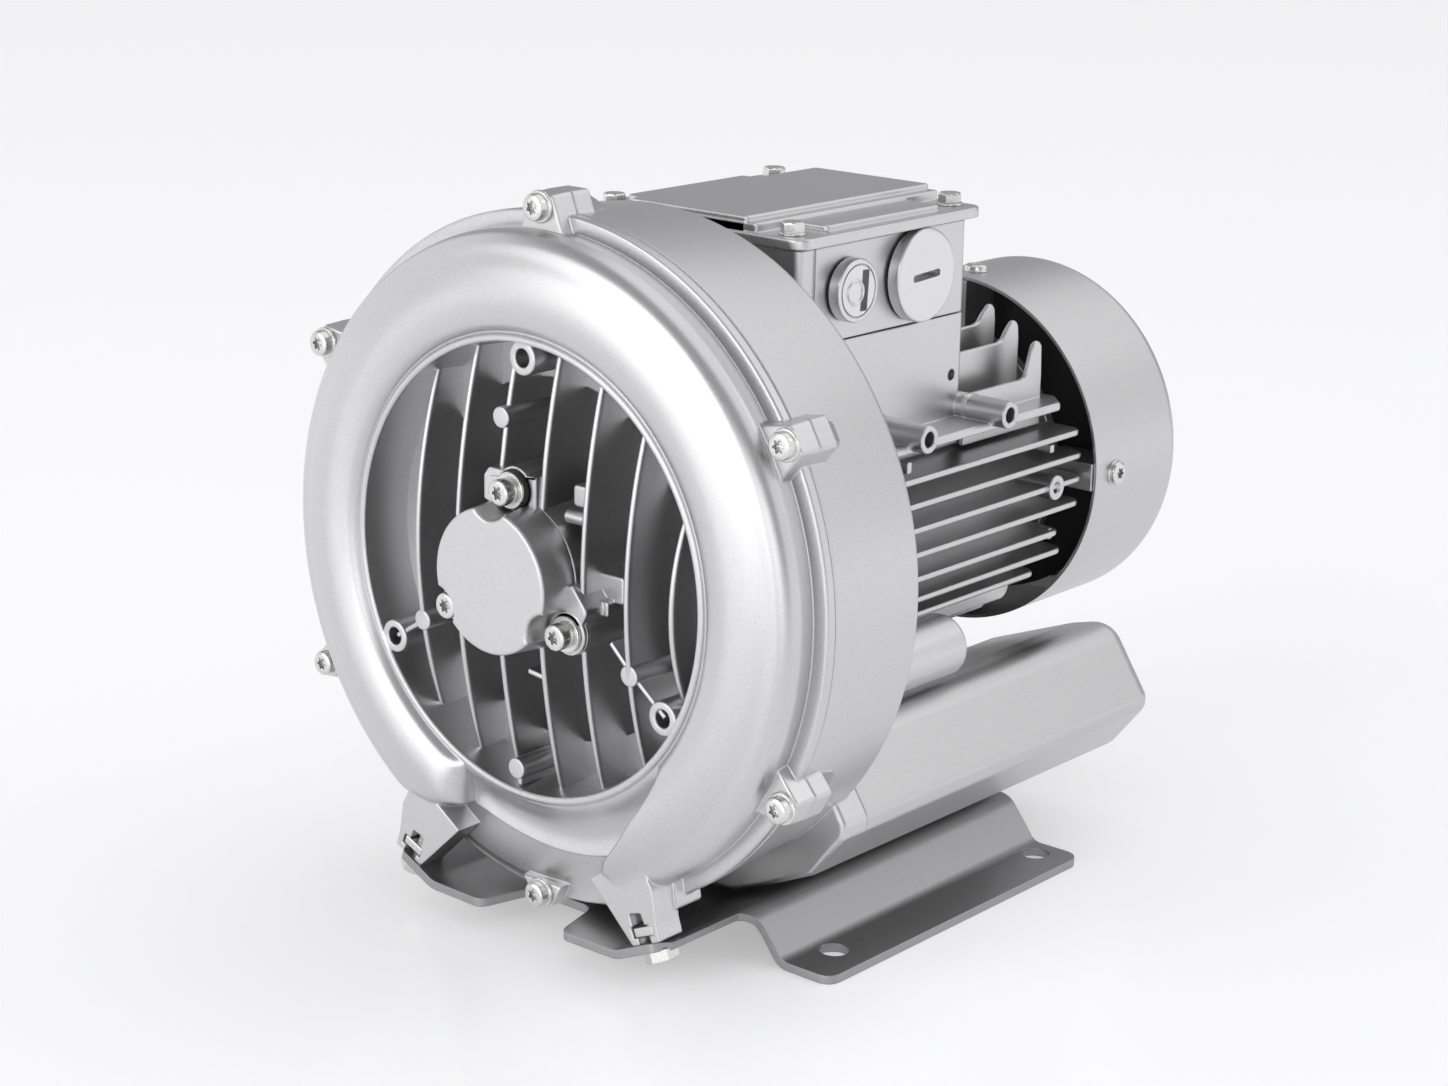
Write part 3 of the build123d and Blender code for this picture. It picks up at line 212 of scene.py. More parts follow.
class BLOWER_OT_finishes(bpy.types.Operator):
    """Make the procedural finishes and give them to the frame's nodes"""

    bl_idname = "blower.finishes"
    bl_label = "Finishes"

    def execute(self, context):
        look = context.scene.blower_finish
        GROUPS["grain"] = fine_grain_group()
        coat, steel, base = tuple(look.coat_colour), tuple(look.steel_colour), tuple(look.base_paint_and_shade_colour)
        rough, edge = look.coat_roughness, look.round_edges
        table = {
            "cast_aluminium": dict(colour=coat, roughness=rough, metallic=1.0, edge=edge),
            "silencer_paint": dict(colour=tuple(c * 0.93 for c in coat), roughness=rough + 0.02, metallic=1.0,
                                   edge=edge),
            "sheet_paint": dict(colour=tuple(c * 0.97 for c in coat), roughness=rough + 0.02, metallic=1.0,
                                edge=edge * 0.6),
            # The base paint's colour holds painted shade: darker than the paint alone, standing for the shade
            # under the casing.
            "base_paint": dict(colour=base, roughness=rough + 0.04, metallic=0.95, edge=edge * 0.7),
            "zinc_steel": dict(colour=steel, roughness=0.27, metallic=1.0, contrast=0.03, bump=0.0,
                               edge=0.0003),
            "plug_metal": dict(colour=(0.70, 0.70, 0.705), roughness=0.34, metallic=0.9, contrast=0.05,
                               bump=0.03, edge=0.0004),
            "bare_aluminium": dict(colour=(0.68, 0.69, 0.7), roughness=0.42, metallic=0.95, scale=900.0,
                                   edge=edge),
            "ground_steel": dict(colour=(0.6, 0.6, 0.6), roughness=0.25, metallic=1.0, scale=1500.0, edge=0.0),
            "bearing_steel": dict(colour=(0.68, 0.68, 0.68), roughness=0.16, metallic=1.0, contrast=0.03,
                                  edge=0.0),
            "lamination_steel": dict(colour=(0.3, 0.3, 0.31), roughness=0.45, metallic=0.9, scale=600.0,
                                     edge=0.0),
            "copper_winding": dict(colour=(0.55, 0.26, 0.12), roughness=0.35, metallic=0.8, scale=700.0,
                                   contrast=0.2, edge=0.0),
            "seal_rubber": dict(colour=(0.02, 0.02, 0.02), roughness=0.6, metallic=0.0, scale=900.0, edge=0.0),
            "fan_plastic": dict(colour=(0.03, 0.03, 0.03), roughness=0.45, metallic=0.0, scale=1200.0,
                                edge=0.0),
            "board_plastic": dict(colour=(0.2, 0.13, 0.07), roughness=0.5, metallic=0.0, scale=800.0, edge=0.0),
            "brass_terminal": dict(colour=(0.7, 0.53, 0.22), roughness=0.3, metallic=1.0, scale=900.0,
                                   edge=0.0),
            "absorber_foam": dict(colour=(0.09, 0.09, 0.09), roughness=0.9, metallic=0.0, scale=400.0,
                                  contrast=0.5, bump=0.5, edge=0.0),
        }
        for name, values in table.items():
            MATERIALS[name] = finish_material(name, **values)
        slots = {entry["node"]: entry["material_slot"] for entry in frame["record"]["subparts"]}
        for node, piece in frame["nodes"].items():
            piece.data.materials.clear()
            piece.data.materials.append(MATERIALS[slots[node]])
        return {"FINISHED"}


# ------------------------------------------------------------------ drawing solids in millimetres
# Every point is x across, y depth behind the cover screw heads, z height above the shaft.
def polar(radius, angle):
    """Flat point at a radius and an angle in degrees."""
    return Vector((radius * math.cos(math.radians(angle)), radius * math.sin(math.radians(angle))))


class Place:
    """Where a flat outline lies: a corner and the directions across, up and along its depth."""

    def __init__(self, origin, across, up, along):
        self.origin, self.across, self.up, self.along = (Vector(v) for v in (origin, across, up, along))

    def at(self, a, b, depth):
        """Point of space for a flat point and a depth."""
        return self.origin + self.across * a + self.up * b + self.along * depth


def facing(y):
    """Outline seen from the front, running back from a depth."""
    return Place((0, y, 0), (1, 0, 0), (0, 0, 1), (0, 1, 0))


def sideways(x, hand=1):
    """Outline seen from the side as depth and height, running out along x."""
    return Place((x, 0, 0), (0, 1, 0), (0, 0, 1), (hand, 0, 0))


def level(z):
    """Outline seen from above as x and depth, running up."""
    return Place((0, 0, z), (1, 0, 0), (0, 1, 0), (0, 0, 1))


class Form:
    """Closed shells under construction."""

    def __init__(self):
        self.points = []
        self.faces = []

    def ring(self, points):
        """Add points and give their numbers."""
        start = len(self.points)
        self.points.extend(points)
        return list(range(start, start + len(points)))

    def face(self, indices):
        kept = [v for k, v in enumerate(indices) if v != indices[k - 1]]
        if len(kept) > 2:
            self.faces.append(tuple(kept))

    def bridge(self, a, b, closed=True):
        for i in range(len(a) if closed else len(a) - 1):
            j = (i + 1) % len(a)
            self.face((a[i], a[j], b[j], b[i]))


def oblong(x0, x1, y0, y1):
    """Corners of a rectangle."""
    return [(x0, y0), (x1, y0), (x1, y1), (x0, y1)]


def signed_area(points):
    """Area of an outline, positive when it runs counter-clockwise."""
    return sum(p.x * q.y - q.x * p.y for p, q in zip(points, points[1:] + points[:1])) / 2


def outline_of(points):
    """Points as vectors, counter-clockwise."""
    points = [Vector(p) for p in points]
    return points if signed_area(points) > 0 else points[::-1]


def inset(points, distance):
    """Counter-clockwise outline moved inwards."""
    if abs(distance) < 1e-9:
        return [p.copy() for p in points]
    moved = []
    for k, p in enumerate(points):
        before, after = (p - points[k - 1]).normalized(), (points[(k + 1) % len(points)] - p).normalized()
        n1, n2 = Vector((-before.y, before.x)), Vector((-after.y, after.x))
        spread = max(1.0 + n1.dot(n2), 0.25)
        moved.append(p + (n1 + n2) * (distance / spread))
    return moved


def soften(points, radius, steps=5):
    """Outline with its corners turned into arcs; radius is one number or one for each corner."""
    points = [Vector(p) for p in points]
    radii = list(radius) if isinstance(radius, (list, tuple)) else [radius] * len(points)
    if signed_area(points) < 0:
        points, radii = points[::-1], radii[::-1]
    done = []
    for k, p in enumerate(points):
        a, b = points[k - 1] - p, points[(k + 1) % len(points)] - p
        if radii[k] <= 0 or a.length < 1e-6 or b.length < 1e-6:
            done.append(p)
            continue
        half = a.angle(b) / 2
        reach = min(radii[k] / math.tan(half), 0.48 * a.length, 0.48 * b.length)
        r = reach * math.tan(half)
        start, end = p + a.normalized() * reach, p + b.normalized() * reach
        centre = p + (a.normalized() + b.normalized()).normalized() * (r / math.sin(half))
        u, v = start - centre, end - centre
        turn = math.atan2(u.x * v.y - u.y * v.x, u.dot(v))
        for i in range(steps + 1):
            done.append(centre + Matrix.Rotation(turn * i / steps, 2) @ u)
    return done


def disc(centre, radius, count):
    """Points round a circle."""
    return [Vector(centre) + polar(radius, 360.0 * k / count) for k in range(count)]


def capped(form, place, loop, flat, depth, holes):
    """Flat end with convex holes left open; returns the hole loops."""
    verts, edges = list(flat), [(i, (i + 1) % len(flat)) for i in range(len(flat))]
    for hole in holes:
        base = len(verts)
        verts += hole
        edges += [(base + i, base + (i + 1) % len(hole)) for i in range(len(hole))]
    extra = form.ring([place.at(p.x, p.y, depth) for p in verts[len(flat):]])
    index = list(loop) + extra
    out, _, faces, origin, _, _ = delaunay_2d_cdt(verts, edges, [], 1, 1e-5)
    for face in faces:
        middle = sum((out[i] for i in face), Vector((0, 0))) / len(face)
        if not any(all((q - p).cross(middle - p) > 0 for p, q in zip(hole, hole[1:] + hole[:1]))
                   for hole in holes):
            form.face([index[origin[i][0]] for i in face])
    loops = []
    for hole in holes:
        loops.append(extra[:len(hole)])
        extra = extra[len(hole):]
    return loops


def rounding(radius, steps):
    """How far a rounded rim lies inside the outline and behind the face, from the face outwards."""
    angles = [math.pi / 2 * k / steps for k in range(steps + 1)] if radius else [math.pi / 2]
    return [(radius * (1 - math.sin(t)), radius * (1 - math.cos(t))) for t in angles]


def prism(form, outline, place, depth, front=0.0, back=0.0, steps=3, draft=0.0):
    """Straight solid on an outline, its near and far rims rounded."""
    outline = outline_of(outline)
    rims = rounding(front, steps) + [(narrow, depth - deep) for narrow, deep in reversed(rounding(back, steps))]
    loops = []
    for narrow, deep in rims:
        flat = inset(outline, narrow + draft * (1 - deep / depth))
        loops.append(form.ring([place.at(p.x, p.y, deep) for p in flat]))
    for a, b in zip(loops, loops[1:]):
        form.bridge(a, b)
    form.face(loops[0])
    form.face(loops[-1])


def loft(form, sections, place):
    """Solid through outlines of equal count at several depths."""
    loops = [form.ring([place.at(p[0], p[1], depth) for p in flat]) for flat, depth in sections]
    for a, b in zip(loops, loops[1:]):
        form.bridge(a, b)
    form.face(loops[0])
    form.face(loops[-1])


def turned(form, profile, place, centre, segments):
    """Rings of a profile of radius and depth; a radius of nothing is a point on the axis."""
    loops = []
    for radius, depth in profile:
        if radius < 1e-6:
            loops.append(form.ring([place.at(centre[0], centre[1], depth)]) * segments)
        else:
            loops.append(form.ring([place.at(p.x, p.y, depth) for p in disc(centre, radius, segments)]))
    return loops


def lathe(form, profile, place, centre=(0.0, 0.0), segments=48, closed=True):
    """Solid of revolution from radius and depth pairs."""
    loops = turned(form, profile, place, centre, segments)
    for a, b in zip(loops, loops[1:]):
        form.bridge(a, b)
    if closed:
        form.bridge(loops[-1], loops[0])


def curve(points, steps=5):
    """Smooth run through points."""
    points = [Vector(p) for p in points]
    ext = [2 * points[0] - points[1]] + points + [2 * points[-1] - points[-2]]
    run = []
    for p0, p1, p2, p3 in zip(ext, ext[1:], ext[2:], ext[3:]):
        for k in range(steps):
            t = k / steps
            run.append(0.5 * (2 * p1 + (p2 - p0) * t + (2 * p0 - 5 * p1 + 4 * p2 - p3) * t * t
                              + (3 * p1 - p0 - 3 * p2 + p3) * t ** 3))
    return run + [points[-1]]


def rounded_post(form, place, centre, radius, depth, rim=0.6, bore=0.0, bore_depth=0.0, segments=32):
    """Round boss, its near rim rounded, with a bore if wanted."""
    near = []
    if bore:
        near += [(0.0, bore_depth), (bore, bore_depth), (bore, 0.35), (bore + 0.35, 0.0)]
    else:
        near += [(0.0, 0.0)]
    near += [(radius - rim * (1 - math.sin(t)), rim * (1 - math.cos(t))) for t in (0.0, 0.52, 1.05,
                                                                                   math.pi / 2)]
    lathe(form, near + [(radius, depth), (0.0, depth)], place, centre, segments, closed=False)


def new_mesh(name, form, world=True):
    """Mesh in metres, normals outward."""
    shift = ORIGIN if world else Vector((0, 0, 0))
    mesh = bpy.data.meshes.new(name)
    mesh.from_pydata([Vector(p) * MM + shift for p in form.points], [], form.faces)
    work = bmesh.new()
    work.from_mesh(mesh)
    bmesh.ops.recalc_face_normals(work, faces=work.faces)
    work.to_mesh(mesh)
    work.free()
    return mesh


def settle(name, mesh, slot, nodes=(), body="housing", angle=33.0):
    """Put a finished mesh in the frame with its finish."""
    mesh.name = name
    mesh.materials.clear()
    mesh.materials.append(MATERIALS[slot])
    mesh.polygons.foreach_set("use_smooth", [True] * len(mesh.polygons))
    mesh.set_sharp_from_angle(angle=math.radians(angle))
    thing = bpy.data.objects.new(name, mesh)
    bpy.context.scene.collection.objects.link(thing)
    flats = thing.modifiers.new("Flat faces", "WEIGHTED_NORMAL")
    flats.keep_sharp = True
    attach(thing, body)
    if nodes:
        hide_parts(*nodes)


# ------------------------------------------------------------------ geometry node trees
def geometry_tree(name, inputs):
    """Empty geometry tree with named inputs."""
    tree = bpy.data.node_groups.new(name, "GeometryNodeTree")
    tree.interface.new_socket(name="Geometry", in_out="INPUT", socket_type="NodeSocketGeometry")
    for label, kind in inputs:
        tree.interface.new_socket(name=label, in_out="INPUT", socket_type=kind)
    tree.interface.new_socket(name="Geometry", in_out="OUTPUT", socket_type="NodeSocketGeometry")
    return tree, tree.nodes.new("NodeGroupInput"), tree.nodes.new("NodeGroupOutput")


def finish_tree(tree, source, sink, geometry):
    """Realize the instances and give them their material."""
    real = add_node(tree, "GeometryNodeRealizeInstances", {"Geometry": geometry})
    paint = add_node(tree, "GeometryNodeSetMaterial", {
        "Geometry": real.outputs["Geometry"], "Material": source.outputs["Material"]})
    tree.links.new(paint.outputs["Geometry"], sink.inputs["Geometry"])
    return tree


def fastener_tree():
    """Copies of a part on points, each standing along its point's facing, its drive turned at random."""
    tree, source, sink = geometry_tree(
        "Fasteners", [("Part", "NodeSocketObject"), ("Size", "NodeSocketFloat"), ("Turn", "NodeSocketFloat"),
                      ("Seed", "NodeSocketInt"), ("Material", "NodeSocketMaterial")])
    part = add_node(tree, "GeometryNodeObjectInfo", {"Object": source.outputs["Part"]})
    way = add_node(tree, "GeometryNodeInputNamedAttribute", {"Name": "facing"}, data_type="FLOAT_VECTOR")
    stand = add_node(tree, "FunctionNodeAlignRotationToVector", {"Vector": way.outputs["Attribute"]}, axis="Z")
    chance = add_node(tree, "FunctionNodeRandomValue", {
        3: source.outputs["Turn"], "Seed": source.outputs["Seed"]}, data_type="FLOAT")
    twist = add_node(tree, "FunctionNodeAxisAngleToRotation", {"Axis": (0, 0, 1), "Angle": chance.outputs[1]})
    both = add_node(tree, "FunctionNodeRotateRotation", {
        "Rotation": stand.outputs["Rotation"], "Rotate By": twist.outputs["Rotation"]}, rotation_space="LOCAL")
    copies = add_node(tree, "GeometryNodeInstanceOnPoints", {
        "Points": source.outputs["Geometry"], "Instance": part.outputs["Geometry"],
        "Rotation": both.outputs["Rotation"], "Scale": source.outputs["Size"]})
    return finish_tree(tree, source, sink, copies.outputs["Instances"])


def rib_tree():
    """Row of upright ribs across a round recess, each as long as the recess is there."""
    tree, source, sink = geometry_tree(
        "Rib row", [("Count", "NodeSocketInt"), ("Pitch", "NodeSocketFloat"), ("Shift", "NodeSocketFloat"),
                    ("Recess Radius", "NodeSocketFloat"), ("Centre", "NodeSocketVector"),
                    ("Material", "NodeSocketMaterial")])

    def maths(operation, *values):
        return add_node(tree, "ShaderNodeMath", dict(enumerate(values)), operation=operation).outputs[0]

    pitch, count = source.outputs["Pitch"], source.outputs["Count"]
    start = maths("SUBTRACT", source.outputs["Shift"],
                  maths("MULTIPLY", maths("MULTIPLY", pitch, maths("SUBTRACT", count, 1.0)), 0.5))
    first = add_node(tree, "ShaderNodeCombineXYZ", {"X": start})
    step = add_node(tree, "ShaderNodeCombineXYZ", {"X": pitch})
    row = add_node(tree, "GeometryNodeMeshLine", {
        "Count": count, "Start Location": first.outputs[0], "Offset": step.outputs[0]})
    spot = add_node(tree, "GeometryNodeInputPosition")
    parts = add_node(tree, "ShaderNodeSeparateXYZ", {0: spot.outputs[0]})
    across = maths("DIVIDE", parts.outputs["X"], source.outputs["Recess Radius"])
    reach = maths("SQRT", maths("SUBTRACT", 1.0, maths("MULTIPLY", across, across)))
    size = add_node(tree, "ShaderNodeCombineXYZ", {"X": 1.0, "Y": 1.0, "Z": reach})
    copies = add_node(tree, "GeometryNodeInstanceOnPoints", {
        "Points": row.outputs["Mesh"], "Instance": source.outputs["Geometry"], "Scale": size.outputs[0]})
    move = add_node(tree, "GeometryNodeTransform", {
        "Geometry": copies.outputs["Instances"], "Translation": source.outputs["Centre"]})
    return finish_tree(tree, source, sink, move.outputs["Geometry"])


def grow(thing, tree, values):
    """Run a tree on an object and keep the result as a plain mesh."""
    modifier = thing.modifiers.new(tree.name, "NODES")
    modifier.node_group = tree
    names = {item.name: item.identifier for item in tree.interface.items_tree if item.in_out == "INPUT"}
    for label, value in values.items():
        modifier[names[label]] = value
    bpy.context.view_layer.update()
    graph = bpy.context.evaluated_depsgraph_get()
    mesh = bpy.data.meshes.new_from_object(thing.evaluated_get(graph), depsgraph=graph)
    thing.modifiers.remove(modifier)
    bpy.data.objects.remove(thing)
    return mesh


TREES = {}


def fasten(name, form, spots, slot, nodes=(), turn=6.28, seed=1):
    """Copies of one part at places given as point and facing, in millimetres."""
    part = bpy.data.objects.new(name + "_part", new_mesh(name + "_part", form, world=False))
    mesh = bpy.data.meshes.new(name + "_spots")
    mesh.from_pydata([Vector(p) * MM + ORIGIN for p, _ in spots], [], [])
    facing_way = mesh.attributes.new("facing", "FLOAT_VECTOR", "POINT")
    facing_way.data.foreach_set("vector", [c for _, way in spots for c in way])
    holder = bpy.data.objects.new(name + "_spots", mesh)
    for thing in (part, holder):
        bpy.context.scene.collection.objects.link(thing)
    result = grow(holder, TREES["fasteners"], {
        "Part": part, "Size": 1.0, "Turn": turn, "Seed": seed, "Material": MATERIALS[slot]})
    bpy.data.objects.remove(part)
    settle(name, result, slot, nodes)


# ------------------------------------------------------------------ fasteners
UP = Place((0, 0, 0), (1, 0, 0), (0, 1, 0), (0, 0, 1))


def lobed(radius, height, count=48, lobe=0.42):
    """Ring of a six-lobed recess."""
    return [UP.at(*polar(radius + lobe * math.cos(math.radians(6 * a)), a), height)
            for a in (360.0 * k / count for k in range(count))]


def recessed_head(profile, drive_r, drive_depth, top, count=48):
    """Screw head turned from a profile of radius and height, with a six-lobed recess in its top."""
    form = Form()
    loops = turned(form, profile, UP, (0.0, 0.0), count)
    for radius, height in ((drive_r + 0.15, top), (drive_r, top - 0.25), (drive_r * 0.96, top - drive_depth)):
        loops.append(form.ring(lobed(radius, height, count)))
    loops.append(form.ring([Vector((0, 0, top - drive_depth - 0.5))]) * count)
    for a, b in zip(loops, loops[1:]):
        form.bridge(a, b)
    return form


def pan_screw(head_r=4.3, head_t=3.2, collar_r=5.2, collar_t=1.1):
    """Low round head on a collar."""
    top = collar_t + head_t
    profile = [(0, -3.0), (2.4, -3.0), (2.4, 0.0), (collar_r - 0.2, 0.0), (collar_r, 0.25),
               (collar_r, collar_t - 0.3),
               (collar_r - 0.3, collar_t), (head_r, collar_t + 0.05), (head_r, top - 1.0),
               (head_r - 0.25, top - 0.4),
               (head_r - 0.8, top - 0.08), (head_r - 1.4, top)]
    return recessed_head(profile, 1.75, 2.0, top)


def cap_screw(head_r=4.3, head_t=5.0):
    """Cylinder head with a chamfered top."""
    profile = [(0, -4.0), (2.4, -4.0), (2.4, 0.0), (head_r - 0.2, 0.0), (head_r, 0.2), (head_r, head_t - 0.7),
               (head_r - 0.2, head_t - 0.3), (head_r - 0.6, head_t - 0.05), (head_r - 1.0, head_t)]
    return recessed_head(profile, 1.85, 2.6, head_t)


def washer(outer, inner, thick):
    """Flat ring with slightly rounded rims."""
    form = Form()
    rim = min(0.25, thick / 3)
    lathe(form, [(inner, 0.0), (outer - rim, 0.0), (outer, rim), (outer, thick - rim), (outer - rim, thick),
                 (inner + rim, thick), (inner, thick - rim)], UP, segments=40)
    return form


def hex_head(across, thick, stepped=True, count=36):
    """Hexagon head with its upper corners chamfered and, if stepped, a slightly narrower crown."""
    form = Form()

    def hexed(limit):
        ring = []
        for a in (360.0 * k / count for k in range(count)):
            r = (across / 2) / math.cos(math.radians((a % 60.0) - 30.0))
            ring.append(polar(min(r, limit), a))
        return ring

    big, crown = across / math.sqrt(3.0), across / 2 * 0.97
    loops = [form.ring([UP.at(p.x, p.y, h) for p in hexed(limit)])
             for limit, h in ((big, 0.0), (big, thick - 0.7), (big * 0.97, thick - 0.4), (crown, thick - 0.02))]
    if stepped:
        loops.append(form.ring([UP.at(p.x * 0.8, p.y * 0.8, thick) for p in hexed(crown)]))
    for a, b in zip(loops, loops[1:]):
        form.bridge(a, b)
    form.face(loops[0])
    form.face(loops[-1])
    lathe(form, [(0, -4.0), (2.3, -4.0), (2.3, 0.3), (0, 0.3)], UP, segments=20, closed=False)
    return form


# ------------------------------------------------------------------ cover casting
THIRDS = (90.0, 210.0, 330.0)
LUG_ANGLES = (90.0, 30.0, 150.0, -28.4, 208.4)
LUG_R, LOW_LUG_R, RING_BOSS_R, HUB_SCREW_R = 116.0, 112.0, 69.4, 28.0
RECESS_FLOOR = 37.0
PLATE_FLAT, SLOPE_FROM, SLOPE_RISE, SLOPE_RUN = 11.0, 42.0, 12.0, 27.5
SLOPE = math.atan2(SLOPE_RISE, SLOPE_RUN)
FOOT_BOLT_X, FOOT_BOLT_Y, NUT_LOW = 54.5, (1.0, 160.0), 2.4
# Section of the bulge as radius and depth, then the ends of the bulge as radius and angle.
CREST = curve([(76.2, -3.5), (77.4, -3.5), (79.2, -6.0), (84.0, -7.6), (90.0, -8.0), (96.5, -6.9),
               (101.4, -5.0)], 10)
SHOULDER = curve([(101.4, -5.0), (105.2, -3.7), (107.6, -1.2), (108.7, 2.2)], 5) + [Vector((108.8, 3.0)),
                                                                                    Vector((108.4, 9.0))]
LAND = [(76.2, -4.3), (78.6, -3.0), (83.0, 1.0), (88.0, 3.2), (93.0, 3.2), (93.4, 4.0), (105.0, 7.2),
        (108.0, 8.2), (114.0, 10.5)]
HOLLOW = curve([(0.0, -4.0), (0.12, -2.8), (0.36, 1.2), (0.66, 3.5), (1.0, 3.1)], 4)
RIGHT_END = [(74.0, -36.0), (76.5, -40.0), (80.5, -45.3), (86.6, -58.7), (95.4, -69.5), (98.9, -71.3),
             (101.0, -70.5), (114.0, -69.0)]
LEFT_END = [(74.0, 248.0), (92.5, 251.5), (99.4, 247.2), (105.6, 240.9), (114.0, 238.5)]
RIM_LINE = [(236.0, 107.5), (242.5, 108.2), (248.6, 109.6), (263.9, 109.3), (272.4, 106.2), (281.9, 103.5),
            (291.0, 100.6)]


def along(table, value):
    """Straight interpolation in a table of pairs."""
    for (x0, y0), (x1, y1) in zip(table, table[1:]):
        if value <= x1:
            return y0 + (y1 - y0) * max(0.0, (value - x0)) / (x1 - x0)
    return table[-1][1]


def ease(value):
    """Smooth step from nothing to one."""
    value = min(max(value, 0.0), 1.0)
    return value * value * (3 - 2 * value)


def channel_casting(form):
    """Annular bulge of the cover with the stepped-back sector at its foot."""
    crest_table = [(p.x, p.y) for p in CREST]
    inner = [76.2 + (93.0 - 76.2) * k / 16 for k in range(17)]
    outer = [93.0 + (101.4 - 93.0) * k / 8 for k in range(1, 9)]
    bulge = [Vector((r, along(crest_table, r))) for r in inner + outer] + SHOULDER[1:]
    rows = len(bulge)

    def floor_row(k, angle):
        """Point of the stepped-back sector at an angle."""
        edge = 92.6 + 2.8 * ease((angle - 252.0) / 38.0)
        line = along(RIM_LINE, angle)
        if k < 17:
            q = HOLLOW[k]
            return Vector((76.2 + (edge - 76.2) * q.x, q.y))
        if k < 25:
            t = (k - 17) / 7
            return Vector((edge + 0.35 + (line - edge - 0.35) * t, 3.9 + 3.4 * t))
        t = (k - 24) / (rows - 25)
        return Vector((line + (112.2 - line) * t, 7.3 + (9.2 - 7.3) * (t ** 0.8)))

    def bulge_column(k, gap, reach):
        """Point of the bulge, dropping to the land near either end."""
        p = bulge[k].copy()
        if gap < reach:
            drop = 1 - math.sqrt(max(0.0, 1 - (1 - gap / reach) ** 2))
            p.y += (max(along(LAND, p.x), p.y) - p.y) * drop
        return p

    columns = []
    left_gaps = [0.0, 0.08, 0.3, 0.8, 1.6, 2.8, 4.2, 6.0, 8.2, 10.5]
    right_gaps = [0.0, 0.06, 0.2, 0.5, 1.0, 1.8, 2.8, 4.0, 5.4, 7.0]
    body = 190
    spans = [("r", g) for g in right_gaps] + [("m", (k + 1) / (body + 1)) for k in range(body)]
    spans += [("l", g) for g in reversed(left_gaps)]
    for kind, value in spans:
        column = []
        for k in range(rows):
            r = bulge[k].x
            a0, a1 = along(RIGHT_END, r), along(LEFT_END, r)
            if kind == "r":
                angle, gap, reach = a0 + math.degrees(value / r), value, 7.0
            elif kind == "l":
                angle, gap, reach = a1 - math.degrees(value / r), value, 10.5
            else:
                b0, b1 = a0 + math.degrees(7.0 / r), a1 - math.degrees(10.5 / r)
                angle, gap, reach = b0 + (b1 - b0) * value, 99.0, 1.0
            p = bulge_column(k, gap, reach)
            column.append((p, angle))
        columns.append(column)
    sector = 48
    for j in range(1, sector):
        u = j / sector
        weight = ease(min(u, 1 - u) / 0.09)
        column = []
        for k in range(rows):
            r = bulge[k].x
            a0, a1 = along(LEFT_END, r), along(RIGHT_END, r) + 360.0
            angle = a0 + (a1 - a0) * u
            own = Vector((r, max(along(LAND, r), bulge[k].y)))
            target = floor_row(k, angle)
            column.append((own.lerp(target, weight), angle))
        columns.append(column)
    place = facing(0)
    loops = []
    for column in columns:
        ring = []
        for p, angle in column:
            flat = polar(p.x, angle)
            ring.append(place.at(flat.x, flat.y, p.y))
        last, first = column[-1], column[0]
        for r, y, angle in ((106.0, 12.6, last[1]), (80.0, 12.6, first[1]), (76.0, 6.0, first[1])):
            flat = polar(r, angle)
            ring.append(place.at(flat.x, flat.y, y))
        loops.append(form.ring(ring))
    for a, b in zip(loops, loops[1:] + loops[:1]):
        form.bridge(a, b)


def radial_outline(angle, radius, inner, base, out, reach, round_out=1.6):
    """Trapezoid around a screw, pointing outwards."""
    flat = [Vector((inner, -base)), Vector((radius + reach, -out)), Vector((radius + reach, out)),
            Vector((inner, base))]
    flat = soften(flat, [0.0, round_out, round_out, 0.0], 4)
    turn = Matrix.Rotation(math.radians(angle), 2)
    return [turn @ p for p in flat]


def foot_frame(hand):
    """Directions along and off the sloping sheet at a foot bolt, and the bolt's place."""
    up = Vector((-hand * math.sin(SLOPE), math.cos(SLOPE)))
    run = Vector((math.cos(SLOPE), hand * math.sin(SLOPE)))
    base = Vector((hand * FOOT_BOLT_X, slope_height(FOOT_BOLT_X)))
    return base, run, up


def slope_height(x):
    """Height of the base plate's sloping sheet, from the shaft."""
    return PLATE_FLAT + (abs(x) - SLOPE_FROM) * SLOPE_RISE / SLOPE_RUN - SHAFT_HEIGHT


def foot_outline(hand, nut_low):
    """Front of a cast foot with its T-slot for the square nut."""
    base, run, up = foot_frame(1)
    tip_in, tip_out = Vector((49.0, slope_height(49.0))), Vector((60.5, slope_height(60.5)))

    def spot(side_way, lift):
        """Point of the foot, along and off the plate's slope."""
        return base + run * side_way + up * lift

    slot = [spot(-2.7, 0.0), spot(-2.7, nut_low), spot(-4.6, nut_low), spot(-4.6, nut_low + 3.8),
            spot(-3.6, nut_low + 3.8), spot(-3.4, nut_low + 8.2), spot(1.6, nut_low + 7.6),
            spot(1.8, nut_low + 3.8),
            spot(4.6, nut_low + 3.8), spot(4.6, nut_low), spot(2.7, nut_low), spot(2.7, 0.0)]
    points = [Vector((30.0, -96.0)), tip_in] + slot + [tip_out, Vector((58.8, -104.0)), Vector((57.0, -93.0)),
                                                       Vector((52.0, -84.0)), Vector((42.0, -88.0))]
    radii = [0.0, 0.8] + [0.0] + [0.5] * 10 + [0.0] + [0.8, 2.0, 6.0, 4.0, 1.0]
    return soften([Vector((hand * p.x, p.y)) for p in points], radii, 4)


